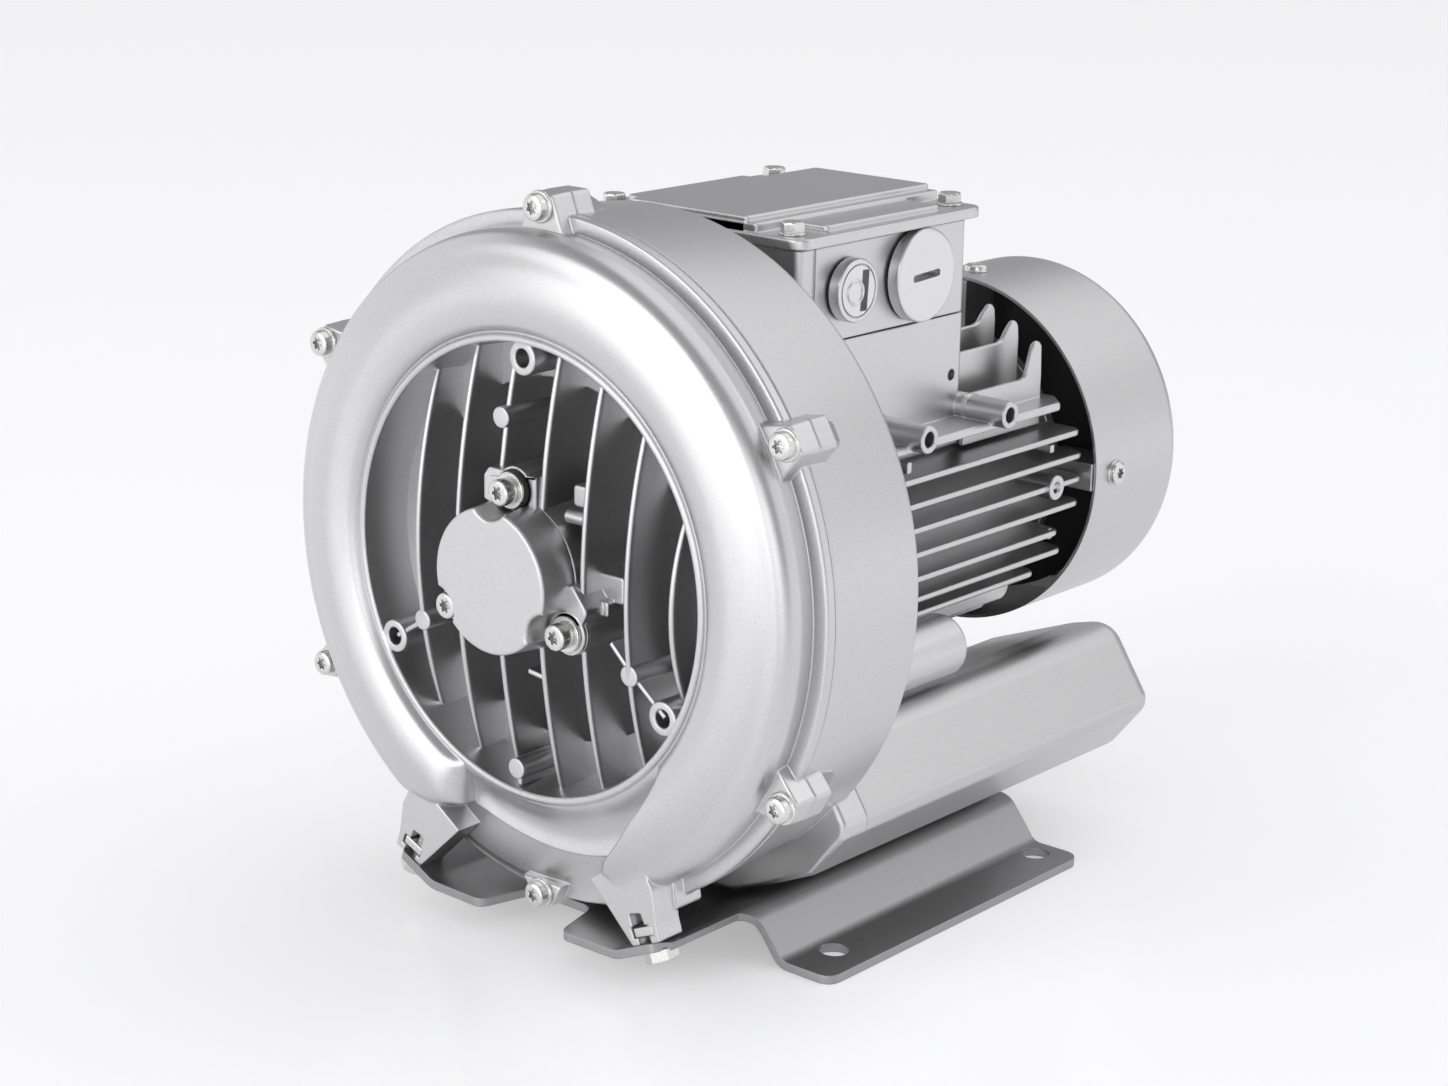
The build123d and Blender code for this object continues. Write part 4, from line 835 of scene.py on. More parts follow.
def cover_form():
    """Whole front cover except its ribs."""
    form = Form()
    channel_casting(form)
    cup = [(0.0, 36.0), (68.0, 36.0), (70.6, 35.0), (71.6, 32.5), (73.75, -3.4), (73.95, -4.2), (74.6, -4.75),
           (75.6, -4.75),
           (76.3, -4.3), (76.6, -3.2), (76.6, 8.0), (76.0, 40.0), (0.0, 40.0)]
    lathe(form, cup, facing(0), segments=160, closed=False)
    flange = [(105.0, 10.0), (107.4, 8.8), (112.9, 8.8), (113.5, 9.05), (113.9, 9.7), (113.9, 12.4),
              (113.6, 12.8), (105.0, 12.8)]
    lathe(form, flange, facing(0), segments=200)
    hub = [(0.0, -6.0), (24.2, -6.0), (24.8, -5.4), (27.4, 30.0), (29.5, 34.5), (33.0, 36.4), (0.0, 38.0)]
    lathe(form, hub, facing(0), segments=96, closed=False)
    for angle in THIRDS:
        ring_spot, hub_spot = polar(RING_BOSS_R, angle), polar(HUB_SCREW_R, angle)
        rounded_post(form, facing(-4.3), ring_spot, 5.6, 41.0, 0.7, bore=3.0, bore_depth=13.0)
        rounded_post(form, facing(-7.6 if angle == 90.0 else -8.9), hub_spot, 7.2, 43.0, 0.6)
    for spot in ((-9.25, 49.0), (-46.25, -26.0), (46.25, -24.0), (-3.0, -67.0)):
        rounded_post(form, facing(-4.6), spot, 3.5, 41.5, 0.5)
    for start, end, y in (
            ((-46.25, -26.0), polar(RING_BOSS_R, 210.0), -3.2),
            ((46.25, -24.0), polar(RING_BOSS_R, 330.0), -3.2),
            ((37.0, -15.5), (46.25, -24.0), -3.2), ((-3.0, -67.0), (-3.0, -73.0), -3.0),
            ((2.0, -32.6), (9.2, -33.4), -4.0), ((21.5, 8.0), (28.0, 8.0), -1.0),
            ((-40.0, 46.0), (-28.0, 44.0), 12.0)):
        web(form, start, end, y)
    top = soften([(-14.5, 22.0), (-14.5, 30.5), (-12.0, 33.8), (9.6, 33.8), (9.6, 20.0), (-8.0, 20.0)],
                 [0, 2, 2.5, 0.5, 0, 0], 4)
    prism(form, top, facing(-7.6), 43.0, front=0.7, draft=0.6)
    low = soften([(14.0, -17.5), (24.4, -21.0), (33.0, -5.5), (26.0, 2.7), (20.9, 0.0), (17.0, -8.0)],
                 [0, 1.5, 3.0, 1.5, 1.0, 0], 4)
    prism(form, low, facing(-8.9), 43.0, front=0.7, draft=0.4)
    for x0, x1, z0, z1, y, corner, rim in ((19.5, 28.0, 25.0, 32.0, -1.5, 1.2, 0.8),
                                           (27.5, 38.0, -4.5, 4.5, 2.0, 1.2, 0.8),
                                           (27.5, 34.0, -8.5, -3.5, -1.0, 1.0, 0.7)):
        prism(form, soften(oblong(x0, x1, z0, z1), corner, 3), facing(y), RECESS_FLOOR - y, front=rim)
    lathe(form, [(0.0, 0.0), (1.8, 0.0), (2.3, 0.5), (2.3, 11.0), (0.0, 11.0)], sideways(17.0), (-1.0, 21.5),
          24, closed=False)
    lugs = [radial_outline(angle, LUG_R, 104.0, 11.3, 4.9, 4.3) for angle in LUG_ANGLES]
    for lug in lugs + [radial_outline(270.0, LOW_LUG_R, 107.6, 9.4, 4.9, 4.3)]:
        prism(form, lug, facing(4.3), 8.5, front=0.8, draft=0.5)
    for hand in (1, -1):
        prism(form, foot_outline(hand, NUT_LOW), facing(-4.5), 11.0, front=0.35, back=0.35)
        cheek = soften([(hand * x, z) for x, z in ((40.0, -88.0), (53.0, -84.0), (58.0, -93.0), (59.6, -101.5),
                                                   (41.0, -103.0))], 1.5, 3)
        prism(form, cheek, facing(5.0), 12.0, back=1.0)
    return form


def web(form, start, end, y, half=0.85):
    """Thin wall on the recess floor between two points, its front edge rounded."""
    start, end = Vector(start), Vector(end)
    side = (end - start).normalized()
    off = Vector((-side.y, side.x)) * half
    prism(form, [start + off, end + off, end - off, start - off], facing(y), RECESS_FLOOR - y, front=0.6)


class BLOWER_OT_cover(bpy.types.Operator):
    """Cover casting: bulge, recess, bosses, screw lugs and feet"""

    bl_idname = "blower.cover"
    bl_label = "Front cover"

    def execute(self, context):
        settle("cover_casting", new_mesh("cover_casting", cover_form()), "cast_aluminium", ("front_cover",),
               angle=30.0)
        return {"FINISHED"}


class BLOWER_OT_ribs(bpy.types.Operator):
    """Domed ribs across the cover's recess"""

    bl_idname = "blower.ribs"
    bl_label = "Cover ribs"

    def execute(self, context):
        sizes = context.scene.blower_sizes
        half = sizes.rib_thickness / MM / 2
        reach, steps = sizes.recess_radius / MM, 26
        form = Form()
        loops = []
        for k in range(steps + 1):
            t = -1.0 + 2.0 * k / steps
            z = reach * t
            edge = -6.5 + 10.0 * t * t
            root = half * 1.35
            loops.append(form.ring([Vector(p) for p in (
                (-root, RECESS_FLOOR, z), (-half, edge + 2.0, z), (-half * 0.92, edge + 0.55, z),
                (-half * 0.55, edge + 0.12, z), (0, edge, z), (half * 0.55, edge + 0.12, z),
                (half * 0.92, edge + 0.55, z), (half, edge + 2.0, z), (root, RECESS_FLOOR, z))]))
        for a, b in zip(loops, loops[1:]):
            form.bridge(a, b)
        form.face(loops[0])
        form.face(loops[-1])
        rib = bpy.data.objects.new("rib", new_mesh("rib", form, world=False))
        bpy.context.scene.collection.objects.link(rib)
        mesh = grow(rib, TREES["ribs"], {
            "Count": sizes.rib_count, "Pitch": sizes.rib_pitch, "Shift": sizes.rib_shift,
            "Recess Radius": sizes.recess_radius,
            "Centre": tuple(ORIGIN), "Material": MATERIALS["cast_aluminium"]})
        settle("cover_ribs", mesh, "cast_aluminium", angle=40.0)
        return {"FINISHED"}


class BLOWER_OT_hub(bpy.types.Operator):
    """Notched hub cap with the seal ring under its top screw"""

    bl_idname = "blower.hub"
    bl_label = "Hub cap"

    def execute(self, context):
        form = Form()
        drum, notch_r, away = 24.8, 7.0, HUB_SCREW_R
        outline = []
        for angle in THIRDS:
            half = math.degrees(math.acos((drum ** 2 + away ** 2 - notch_r ** 2) / (2 * drum * away)))
            centre = polar(away, angle)
            a, b = polar(drum, angle - half) - centre, polar(drum, angle + half) - centre
            start = math.atan2(a.y, a.x)
            sweep = (math.atan2(b.y, b.x) - start) % (2 * math.pi) - 2 * math.pi
            outline += [centre + Vector((math.cos(start + sweep * k / 14),
                                         math.sin(start + sweep * k / 14))) * notch_r
                        for k in range(15)]
            outline += [polar(drum, angle + half + (120.0 - 2 * half) * k / 24) for k in range(1, 24)]
        prism(form, outline, facing(-19.5), 13.6, front=0.9, steps=4, draft=1.1)
        for angle in THIRDS:
            rounded_post(form, facing(-7.6), polar(HUB_SCREW_R, angle), 7.3, 1.7, 0.3)
        settle("hub_cap_drum", new_mesh("hub_cap_drum", form), "cast_aluminium", ("hub_cap",), angle=36.0)
        rings = Form()
        lathe(rings, [(3.0, 0.0), (6.5, 0.0), (6.5, 1.4), (3.0, 1.4)], facing(-9.0), polar(HUB_SCREW_R, 90.0),
              36)
        settle("hub_seal_ring", new_mesh("hub_seal_ring", rings), "seal_rubber")
        return {"FINISHED"}


class BLOWER_OT_screws(bpy.types.Operator):
    """Cover, hub, cowl and lid screws, washers, foot bolts and nuts"""

    bl_idname = "blower.screws"
    bl_label = "Screws"

    def execute(self, context):
        front = (0.0, -1.0, 0.0)
        cover = [(polar(LUG_R, a), front) for a in LUG_ANGLES] + [(polar(LOW_LUG_R, 270.0), front)]
        fasten("cover_screw_heads", pan_screw(), [((p.x, 4.3, p.y), way) for p, way in cover], "zinc_steel",
               ("cover_screws",), seed=3)
        hub = [((p.x, -10.4, p.y), front) for p in (polar(HUB_SCREW_R, a) for a in THIRDS)]
        fasten("hub_screw_heads", cap_screw(), hub, "zinc_steel", ("hub_screws",), seed=5)
        under = [((p.x, -9.0, p.y), front) for p in (polar(HUB_SCREW_R, a) for a in THIRDS)]
        fasten("hub_washer_discs", washer(6.0, 2.75, 1.4), under, "zinc_steel", ("hub_washers",), turn=0.0)
        around = [(1, 0, 0), (0, 0, 1), (-1, 0, 0), (0, 0, -1)]
        cowl = [((65.4 * x, 235.0, 65.4 * z), (x, 0.0, z)) for x, _, z in around]
        fasten("cowl_screw_heads", pan_screw(4.3, 2.0, 4.6, 0.6), cowl, "zinc_steel", ("cowl_screws",), seed=8)
        lid = [(x, y) for x in (39.0, -39.0) for y in (79.5, 163.5)]
        up = (0.0, 0.0, 1.0)
        fasten("lid_screw_heads", hex_head(7.0, 3.4), [((x, y, 103.9), up) for x, y in lid], "zinc_steel",
               ("lid_screws",), seed=2)
        fasten("lid_washer_discs", washer(4.6, 2.1, 0.9), [((x, y, 103.0), up) for x, y in lid], "zinc_steel",
               ("lid_washers",), turn=0.0)
        bolts, nuts = [], Form()
        for hand in (1, -1):
            base, run, off = foot_frame(hand)
            for y in FOOT_BOLT_Y:
                p = base - off * 3.0
                bolts.append(((p.x, y, p.y), (-off.x, 0.0, -off.y)))
            q = base + off * NUT_LOW
            place = Place((q.x, FOOT_BOLT_Y[0], q.y), (run.x, 0, run.y), (0, 1, 0), (off.x, 0, off.y))
            prism(nuts, soften([(-4.3, -4.9), (4.3, -4.9), (4.3, 4.3), (-4.3, 4.3)], 0.5, 3), place, 3.2,
                  front=0.5, back=0.5)
            low = Place((base.x, FOOT_BOLT_Y[0], base.y), (run.x, 0, run.y), (0, 1, 0), (off.x, 0, off.y))
            rounded_post(nuts, low, (0, 0), 2.4, 9.4, 0.0001)
        fasten("foot_bolt_heads", hex_head(9.7, 4.0, stepped=False), bolts, "zinc_steel", ("foot_bolts",),
               turn=0.6, seed=4)
        settle("foot_nut_blocks", new_mesh("foot_nut_blocks", nuts), "zinc_steel", ("foot_nuts",))
        return {"FINISHED"}


# ------------------------------------------------------------------ rear housing
class BLOWER_OT_casing(bpy.types.Operator):
    """Rear half of the casing with its screw lugs, silencer necks and duct stubs"""

    bl_idname = "blower.casing"
    bl_label = "Rear casing"

    def execute(self, context):
        form = Form()
        band = [(60.0, 14.0), (107.8, 14.0), (108.0, 13.05), (113.5, 13.05), (113.9, 13.5), (111.3, 55.5),
                (110.9, 57.0),
                (109.6, 57.9), (58.0, 58.0), (57.4, 62.0), (56.9, 62.0), (50.0, 62.0), (50.0, 50.0),
                (60.0, 50.0)]
        lathe(form, band, facing(0), segments=200)
        for angle, radius, inner, tip in [(a, LUG_R, 104.0, -1.5) for a in LUG_ANGLES] + [(270.0, LOW_LUG_R,
                                                                                           100.0, 1.0)]:
            full = radial_outline(angle, radius, inner, 11.3, 4.9, 4.3)
            low = radial_outline(angle, radius, inner, 8.3, 3.4, tip)
            edge = inset(outline_of(full), 0.3)
            mid = [p.lerp(q, 0.35) for p, q in zip(outline_of(full), outline_of(low))]
            loft(form, [(edge, 13.05), (outline_of(full), 13.4), (outline_of(full), 20.5), (mid, 22.0),
                        (outline_of(low), 29.0)],
                 facing(0))
        for hand in (1, -1):
            neck = soften([(hand * x, z) for x, z in SILENCER], NECK_RADII, 5)
            prism(form, neck, facing(50.0), 12.0, front=2.0, back=0.3)
            lathe(form, [(0.0, 0.0), (11.0, 0.0), (11.0, 80.5), (10.5, 82.0), (0.0, 82.0)], facing(50.0),
                  (hand * 66.0, -41.0), 48,
                  closed=False)
        settle("rear_casing", new_mesh("rear_casing", form), "cast_aluminium", ("rear_housing",), angle=30.0)
        return {"FINISHED"}


SILENCER = [(57.0, -56.6), (73.4, -52.2), (90.2, -77.6), (89.8, -82.5), (77.2, -98.4), (62.0, -105.6),
            (44.0, -113.2),
            (20.0, -115.3), (20.0, -71.0)]
NECK_RADII = [9.0, 11.0, 5.0, 4.0, 4.0, 3.5, 3.5, 4.0, 6.0]


class BLOWER_OT_silencers(bpy.types.Operator):
    """Rounded prismatic silencers with threaded ports in their far ends"""

    bl_idname = "blower.silencers"
    bl_label = "Silencers"

    def execute(self, context):
        for name, hand in (("right", 1), ("left", -1)):
            form = Form()
            outline = outline_of(soften([(hand * x, z) for x, z in SILENCER], NECK_RADII, 6))
            rims = [(0.5, 62.05), (0.12, 62.2), (0.0, 62.6), (0.0, 222.5), (0.3, 225.4), (0.9, 226.9),
                    (1.7, 227.7), (2.6, 228.0)]
            flats = [inset(outline, narrow) for narrow, _ in rims]
            place = facing(0)
            loops = [form.ring([place.at(p.x, p.y, y) for p in flat]) for flat, (_, y) in zip(flats, rims)]
            for a, b in zip(loops, loops[1:]):
                form.bridge(a, b)
            form.face(loops[0])
            centre, count = (hand * 50.0, -85.0), 64
            mouth = capped(form, place, loops[-1], flats[-1], 228.0, [disc(centre, 19.0, count)])[0]
            thread = [(18.6 if k % 2 else 19.0, 227.2 - 0.85 * k) for k in range(9)] + [(17.6, 219.6),
                                                                                        (17.6, 205.0),
                                                                                        (0.0, 205.0)]
            for deep in turned(form, thread, place, centre, count):
                form.bridge(mouth, deep)
                mouth = deep
            settle("silencer_shell_" + name, new_mesh("silencer_shell_" + name, form), "silencer_paint",
                   ("silencer_" + name,), angle=30.0)
        return {"FINISHED"}


# ------------------------------------------------------------------ base
def pressed_sheet(form, section, outline, holes, sheet):
    """Sheet bent to a section of x and height, cut to an outline and pierced."""
    verts, edges = list(outline), [(i, (i + 1) % len(outline)) for i in range(len(outline))]
    for centre, radius, count in holes:
        start = len(verts)
        verts += disc(centre, radius, count)
        edges += [(start + i, start + (i + 1) % count) for i in range(count)]
    for x, _ in section[1:-1]:
        verts += [Vector((x, -130.0)), Vector((x, 80.0))]
        edges.append((len(verts) - 2, len(verts) - 1))
    out, _, faces, _, _, _ = delaunay_2d_cdt(verts, edges, [], 1, 1e-4)
    step = 0.05
    kept = [face for face in faces
            if all((sum((out[i] for i in face), Vector((0, 0))) / len(face) - Vector(c)).length >= r * 0.995
                   for c, r, _ in holes)]
    used = sorted({i for face in kept for i in face})
    index = {v: k for k, v in enumerate(used)}
    upper, lower = [], []
    for p in (out[v] for v in used):
        rise = along(section, p.x + step) - along(section, p.x - step)
        n = Vector((-rise, 2 * step)).normalized() * sheet
        z = along(section, p.x) - SHAFT_HEIGHT
        upper.append(Vector((p.x, p.y + FRONT_REACH, z)))
        lower.append(Vector((p.x - n.x, p.y + FRONT_REACH, z - n.y)))
    a, b = form.ring(upper), form.ring(lower)
    rim = set()
    for face in kept:
        form.face([a[index[i]] for i in face])
        form.face([b[index[i]] for i in reversed(face)])
        rim.update(zip(face, list(face[1:]) + [face[0]]))
    for i, j in rim:
        if (j, i) not in rim:
            form.face([a[index[i]], a[index[j]], b[index[j]], b[index[i]]])


class BLOWER_OT_base(bpy.types.Operator):
    """Pressed gull-wing base plate with its floor flanges and holes"""

    bl_idname = "blower.base"
    bl_label = "Base plate"

    def execute(self, context):
        sheet = context.scene.blower_sizes.sheet / MM
        edge, back = 95.2, 66.5
        half = soften([(0.0, PLATE_FLAT), (SLOPE_FROM, PLATE_FLAT), (61.9, 19.7), (75.2, 3.0), (edge, 3.0),
                       (edge, 40.0),
                       (0.0, 40.0)], [0.0, 9.0, 8.5, 4.8, 0.0, 0.0, 0.0], 8)
        right = [(p.x, p.y) for p in sorted((p for p in half if p.y < 39.0), key=lambda p: p.x)]
        section = [(-x, z) for x, z in reversed(right)] + right[1:]
        plan = [(0.0, -99.0), (13.0, -99.0), (18.5, -120.0), (42.0, -119.5), (57.0, -118.8), (61.6, -113.0),
                (61.6, -81.0), (67.0, -75.5), (edge, -75.5), (edge, back)]
        radii = [0.0, 5.0, 4.0, 3.0, 3.0, 3.0, 4.0, 4.0, 5.0, 6.0]
        outline = plan + [(-x, y) for x, y in reversed(plan[1:])]
        outline = outline_of(soften(outline, radii + list(reversed(radii[1:])), 5))
        form = Form()
        pressed_sheet(form, section, outline, [((x, y), 5.0, 40) for x in (82.0, -82.0) for y in (57.0,
                                                                                                  -57.0)],
                                                                                                  sheet)
        settle("base_sheet", new_mesh("base_sheet", form), "base_paint", ("base_plate",), angle=30.0)
        return {"FINISHED"}


# ------------------------------------------------------------------ motor
BOX_HALF, BOX_Y = 45.0, (76.0, 166.5)


def pierced_riser(form, outline):
    """Foot of the terminal box with a small hole in each side wall."""
    low, high = 20.0, 66.3
    hole, depth = disc((160.2, 45.0), 2.0, 24), 5.0
    rings = [form.ring([Vector((p.x, p.y, z)) for p in flat])
             for flat, z in ((outline, low), (outline, high - 0.3), (inset(outline, 0.3), high))]
    form.face(rings[0])
    form.face(rings[2])
    form.bridge(rings[1], rings[2])
    for k, p in enumerate(outline):
        j = (k + 1) % len(outline)
        q = outline[j]
        wall = [rings[0][k], rings[0][j], rings[1][j], rings[1][k]]
        if abs(p.x - q.x) > 0.01 or abs(p.y - q.y) < 50.0:
            form.face(wall)
            continue
        place = sideways(p.x, -1 if p.x > 0 else 1)
        flat = [Vector((p.y, low)), Vector((q.y, low)), Vector((q.y, high - 0.3)), Vector((p.y, high - 0.3))]
        mouth = capped(form, place, wall, flat, 0.0, [hole])[0]
        end = form.ring([place.at(p.x, p.y, depth) for p in hole])
        form.bridge(mouth, end)
        form.face(end)


class BLOWER_OT_motor(bpy.types.Operator):
    """Finned motor shell with terminal box foot, towers and ledges"""

    bl_idname = "blower.motor"
    bl_label = "Motor shell"

    def execute(self, context):
        form = Form()
        shell = [(0.0, 62.0), (57.5, 62.0), (58.0, 62.5), (58.0, 67.5), (57.4, 68.0), (47.0, 68.5),
                 (47.0, 221.0), (46.2, 221.9),
                 (41.0, 222.0), (41.0, 214.5), (0.0, 214.5)]
        lathe(form, shell, facing(0), segments=96, closed=False)
        ends = (219.0, 221.0, 221.0, 220.0, 208.0, 215.0, 204.0)
        for hand in (1, -1):
            for z, end in zip((17.5, 8.75, 0.0, -8.75, -17.5, -26.25, -33.5), ends):
                far = min(62.0, math.sqrt(64.2 ** 2 - z ** 2))
                fin = soften(oblong(hand * 30.0, hand * far, 62.0, end), [0, 0, 5.0, 0], 6)
                prism(form, fin, level(z - 1.1), 2.2, front=0.8, back=0.8, steps=3)
            for x, low, tip in ((27.5, 54.8, 60.9), (38.0, 49.8, 56.5), (48.5, 38.0, 50.6)):
                horn = [Vector((162.5, 20.0)), Vector((162.5, low))] + curve(
                    [(196.0, low), (198.8, low + 0.8), (201.0, low + (tip - low) * 0.5), (202.8, tip - 1.6),
                     (204.6, tip - 0.2),
                     (205.8, tip)], 4)
                horn += [Vector((206.8, tip - 0.4)), Vector((208.0, tip - 2.0)), Vector((208.6, low)),
                         Vector((208.6, 20.0))]
                prism(form, horn, sideways(hand * x - 1.0), 2.0, front=0.6, back=0.6, steps=2)
            for x in (0.0, 9.0, 18.0, 27.0, 36.0):
                if x or hand > 0:
                    low = -math.sqrt(60.0 ** 2 - x ** 2)
                    fin = soften(oblong(62.0, 212.0, low, -20.0), [0, 5.0, 0, 0], 5)
                    prism(form, fin, sideways(hand * x - 1.1), 2.2, front=0.6, back=0.6, steps=2)
            ledge = soften([(hand * 30.0, 76.0), (hand * 60.0, 76.0), (hand * 60.0, 206.0),
                            (hand * 52.0, 214.0), (hand * 30.0, 214.0)],
                           [0, 0, 3.0, 3.0, 0], 4)
            prism(form, ledge, level(27.0), 3.0, front=0.7, back=0.9)
            for spot in ((121.0, 32.5), (167.0, 33.0)):
                rounded_post(form, sideways(hand * 66.0, -hand), spot, 4.8, 26.0, 0.6, bore=2.7,
                             bore_depth=13.0)
            rounded_post(form, sideways(hand * 63.0, -hand), (202.0, 0.0), 4.5, 18.0, 0.5, bore=2.0,
                         bore_depth=10.0)
            for y, z, height in ((203.0, 15.0, 3.0), (204.0, -16.0, 4.0), (119.0, 24.0, 4.0)):
                prism(form, soften(oblong(y - 1.2, y + 1.2, z - height, z), 0.4, 2),
                      sideways(hand * 44.0, hand), 15.5, back=0.3)
        riser = soften(oblong(-BOX_HALF, BOX_HALF, *BOX_Y), 2.5, 5)
        pierced_riser(form, outline_of(riser))
        settle("motor_shell", new_mesh("motor_shell", form), "cast_aluminium", ("motor_housing",), angle=30.0)
        return {"FINISHED"}


# ------------------------------------------------------------------ terminal box
class BLOWER_OT_box(bpy.types.Operator):
    """Terminal box frame, stepped lid and blanking plugs"""

    bl_idname = "blower.box"
    bl_label = "Terminal box"

    def execute(self, context):
        frame_form = Form()
        start, end = BOX_Y
        groove = [(BOX_HALF, 83.2), (BOX_HALF - 0.8, 83.2), (BOX_HALF - 0.8, 84.4), (BOX_HALF, 84.4)]
        walls = soften([(-BOX_HALF, start), (BOX_HALF, start)] + groove + [(BOX_HALF, end), (-BOX_HALF, end)],
                       [3.0, 3.0, 0.15, 0.1, 0.1, 0.15, 3.0, 3.0], 5)
        prism(frame_form, walls, level(66.75), 31.75, front=0.3, back=0.4)
        settle("box_frame", new_mesh("box_frame", frame_form), "cast_aluminium", ("terminal_box_frame",),
               angle=30.0)
        lid = Form()
        for z, half, y0, y1, thick, corner in (
                (99.5, 49.0, 72.0, 171.0, 3.5, 6.0), (102.0, 44.0, 91.0, 152.0, 3.0, 2.0),
                (102.0, 29.5, 72.8, 170.2, 4.2, 1.5), (102.0, 25.5, 72.8, 170.2, 6.0, 1.5)):
            prism(lid, soften(oblong(-half, half, y0, y1), corner, 6), level(z), thick, front=0.3, back=0.8)
        settle("box_lid", new_mesh("box_lid", lid), "cast_aluminium", ("terminal_box_lid",), angle=30.0)
        centre, radius, thick = (137.0, 83.5), 15.9, 4.6
        rims = [(radius - 0.9, 0.02), (radius - 0.35, 0.25), (radius, 0.9), (radius, thick - 0.3),
                (radius - 0.4, thick),
                (12.3, thick), (12.3, thick + 6.0)]
        plug_piece("large", Form(), centre, thick, radius - 1.1, (-7.4, 7.4, -1.25, 1.25), (1.1, 4), 3.0, rims)
        centre, radius, thick = (100.5, 83.3), 10.6, 4.4
        rims = [(8.45, 0.1), (8.5, 0.9), (8.9, 0.9), (8.95, 0.1), (9.05, 0.0), (radius - 0.9, 0.0),
                (radius - 0.3, 0.25),
                (radius, 0.8), (radius, thick - 0.3), (radius - 0.4, thick), (7.9, thick), (7.9, thick + 6.0)]
        form = Form()
        rounded_post(form, sideways(PLUG_SEAT + thick + 0.5, -1), (centre[0] - 1.7, centre[1] - 0.3), 4.3, 2.0,
                     0.3,
                     bore=3.4, bore_depth=0.7)
        plug_piece("small", form, centre, thick, 8.4, (1.4, 5.0, -6.8, 6.8), (0.3, 2), -4.0, rims)
        return {"FINISHED"}


PLUG_SEAT = 45.8


def plug_piece(name, form, centre, thick, face_r, slot, corner, turn, rims):
    """Round blanking plug, its face cut by a turned slot, its side given as radius and depth."""
    place, count = sideways(PLUG_SEAT + thick, -1), 64
    x0, x1, y0, y1 = slot
    cut = soften(oblong(centre[0] + x0, centre[0] + x1, centre[1] + y0, centre[1] + y1), *corner)
    spin = Matrix.Rotation(math.radians(turn), 2)
    cut = [Vector(centre) + spin @ (p - Vector(centre)) for p in outline_of(cut)]
    flat = disc(centre, face_r, count)
    last = form.ring([place.at(p.x, p.y, 0.0) for p in flat])
    lip = capped(form, place, last, flat, 0.0, [cut])[0]
    deep = form.ring([place.at(p.x, p.y, 6.0) for p in cut])
    form.bridge(lip, deep)
    form.face(deep)
    for ring in turned(form, rims, place, centre, count):
        form.bridge(last, ring)
        last = ring
    form.face(last)
    settle("plug_" + name, new_mesh("plug_" + name, form), "plug_metal", ("cable_plug_" + name,), angle=36.0)


class BLOWER_OT_trees(bpy.types.Operator):
    """Build the geometry trees that repeat screws and ribs"""

    bl_idname = "blower.trees"
    bl_label = "Repeating trees"

    def execute(self, context):
        TREES["fasteners"] = fastener_tree()
        TREES["ribs"] = rib_tree()
        return {"FINISHED"}


# ------------------------------------------------------------------ stage
# Name, azimuth, elevation, spread in degrees, strength.
LAMPS = (("key", -12.0, 9.0, 62.0, 1.7), ("left", -84.0, 14.0, 60.0, 0.5), ("front", 42.0, 9.0, 34.0, 0.45),
         ("top", 165.0, 60.0, 70.0, 0.8), ("side", 125.0, 14.0, 60.0, 0.55))


def direction(azimuth, elevation):
    """Unit vector from the blower, in degrees round from the front and up from the floor."""
    a, e = math.radians(azimuth), math.radians(elevation)
    return Vector((math.sin(a) * math.cos(e), -math.cos(a) * math.cos(e), math.sin(e)))


def camera_turn(stage):
    """Rotation of the camera from its azimuth, elevation and roll."""
    back, r = direction(stage.azimuth, stage.elevation), math.radians(stage.roll)
    right = (-back).cross(Vector((0, 0, 1))).normalized()
    up = right.cross(-back)
    across = right * math.cos(r) + up * math.sin(r)
    above = up * math.cos(r) - right * math.sin(r)
    return Matrix((across, above, back)).transposed().to_quaternion()


def softbox(name, azimuth, elevation, spread, strength):
    """Broad soft light far away, in a direction round the blower."""
    data = bpy.data.lights.new(name, "SUN")
    data.energy, data.angle = strength, math.radians(spread)
    lamp = bpy.data.objects.new(name, data)
    place = direction(azimuth, elevation)
    lamp.location = place * 2.0
    lamp.rotation_mode = "QUATERNION"
    lamp.rotation_quaternion = (-place).to_track_quat("-Z", "Y")
    bpy.context.scene.collection.objects.link(lamp)


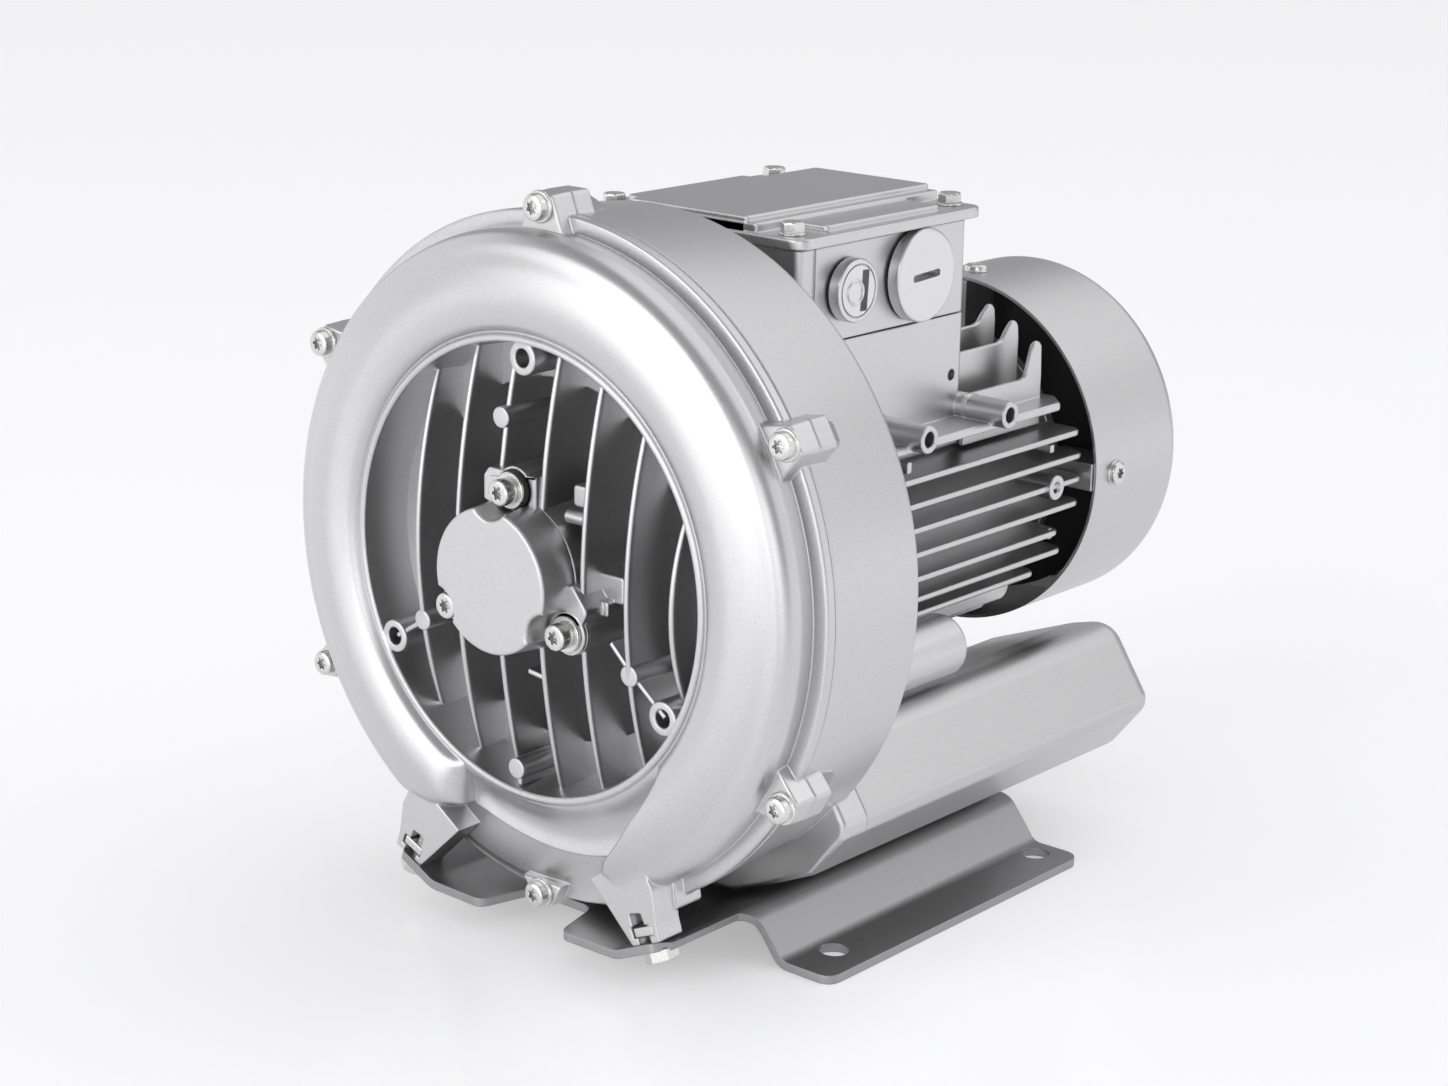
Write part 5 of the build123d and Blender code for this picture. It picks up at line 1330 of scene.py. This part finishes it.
class BLOWER_OT_stage(bpy.types.Operator):
    """Camera, pale floor and soft studio lights"""

    bl_idname = "blower.stage"
    bl_label = "Stage"

    def execute(self, context):
        stage = context.scene.blower_stage
        data = bpy.data.cameras.new("camera")
        data.lens, data.sensor_width, data.clip_start, data.clip_end = stage.focal, 36.0, 0.01, 50.0
        camera = bpy.data.objects.new("camera", data)
        camera.location = stage.place
        camera.rotation_mode = "QUATERNION"
        camera.rotation_quaternion = camera_turn(stage)
        context.scene.collection.objects.link(camera)
        context.scene.camera = camera

        mesh = bpy.data.meshes.new("floor")
        grid = bmesh.new()
        bmesh.ops.create_circle(grid, cap_ends=True, radius=9.0, segments=96)
        grid.to_mesh(mesh)
        grid.free()
        floor = bpy.data.objects.new("floor", mesh)
        context.scene.collection.objects.link(floor)
        paint = bpy.data.materials.new("floor_paint")
        paint.use_nodes = True
        shader = paint.node_tree.nodes["Principled BSDF"]
        for label, value in (("Base Color", (*stage.floor_colour, 1.0)), ("Roughness", 0.2),
                             ("Specular IOR Level", 0.2),
                             ("Emission Color", (1.0, 1.0, 1.0, 1.0)), ("Emission Strength", stage.floor_glow)):
            shader.inputs[label].default_value = value
        mesh.materials.append(paint)

        world = bpy.data.worlds.new("studio")
        world.use_nodes = True
        world.node_tree.nodes["Background"].inputs["Color"].default_value = (0.98, 0.98, 1.0, 1.0)
        world.node_tree.nodes["Background"].inputs["Strength"].default_value = stage.fill
        context.scene.world = world
        context.scene.view_settings.view_transform = "Standard"

        for lamp in LAMPS:
            softbox(*lamp)
        return {"FINISHED"}


# ------------------------------------------------------------------ panel and run
class BLOWER_PT_panel(bpy.types.Panel):
    """Buttons for each group of pieces"""

    bl_idname = "BLOWER_PT_panel"
    bl_label = "Side channel blower"
    bl_space_type = "VIEW_3D"
    bl_region_type = "UI"
    bl_category = "Blower"

    def draw(self, context):
        layout = self.layout
        for operator in OPERATORS:
            layout.operator(operator.bl_idname)


OPERATORS = (BLOWER_OT_finishes, BLOWER_OT_trees, BLOWER_OT_cover, BLOWER_OT_ribs, BLOWER_OT_hub,
             BLOWER_OT_casing,
             BLOWER_OT_silencers, BLOWER_OT_base, BLOWER_OT_motor, BLOWER_OT_box, BLOWER_OT_screws,
             BLOWER_OT_stage)
CLASSES = (BlowerFinish, BlowerSizes, BlowerStage, *OPERATORS, BLOWER_PT_panel)


def register():
    """Add the blower's settings, operators and panel."""
    for cls in CLASSES:
        bpy.utils.register_class(cls)
    bpy.types.Scene.blower_finish = bpy.props.PointerProperty(type=BlowerFinish)
    bpy.types.Scene.blower_sizes = bpy.props.PointerProperty(type=BlowerSizes)
    bpy.types.Scene.blower_stage = bpy.props.PointerProperty(type=BlowerStage)


def unregister():
    """Take them away again."""
    del bpy.types.Scene.blower_stage
    del bpy.types.Scene.blower_sizes
    del bpy.types.Scene.blower_finish
    for cls in reversed(CLASSES):
        bpy.utils.unregister_class(cls)


def main():
    """Build the whole blower."""
    register()
    for operator in OPERATORS:
        group, name = operator.bl_idname.split(".")
        getattr(getattr(bpy.ops, group), name)()


if __name__ == "__main__":
    main()
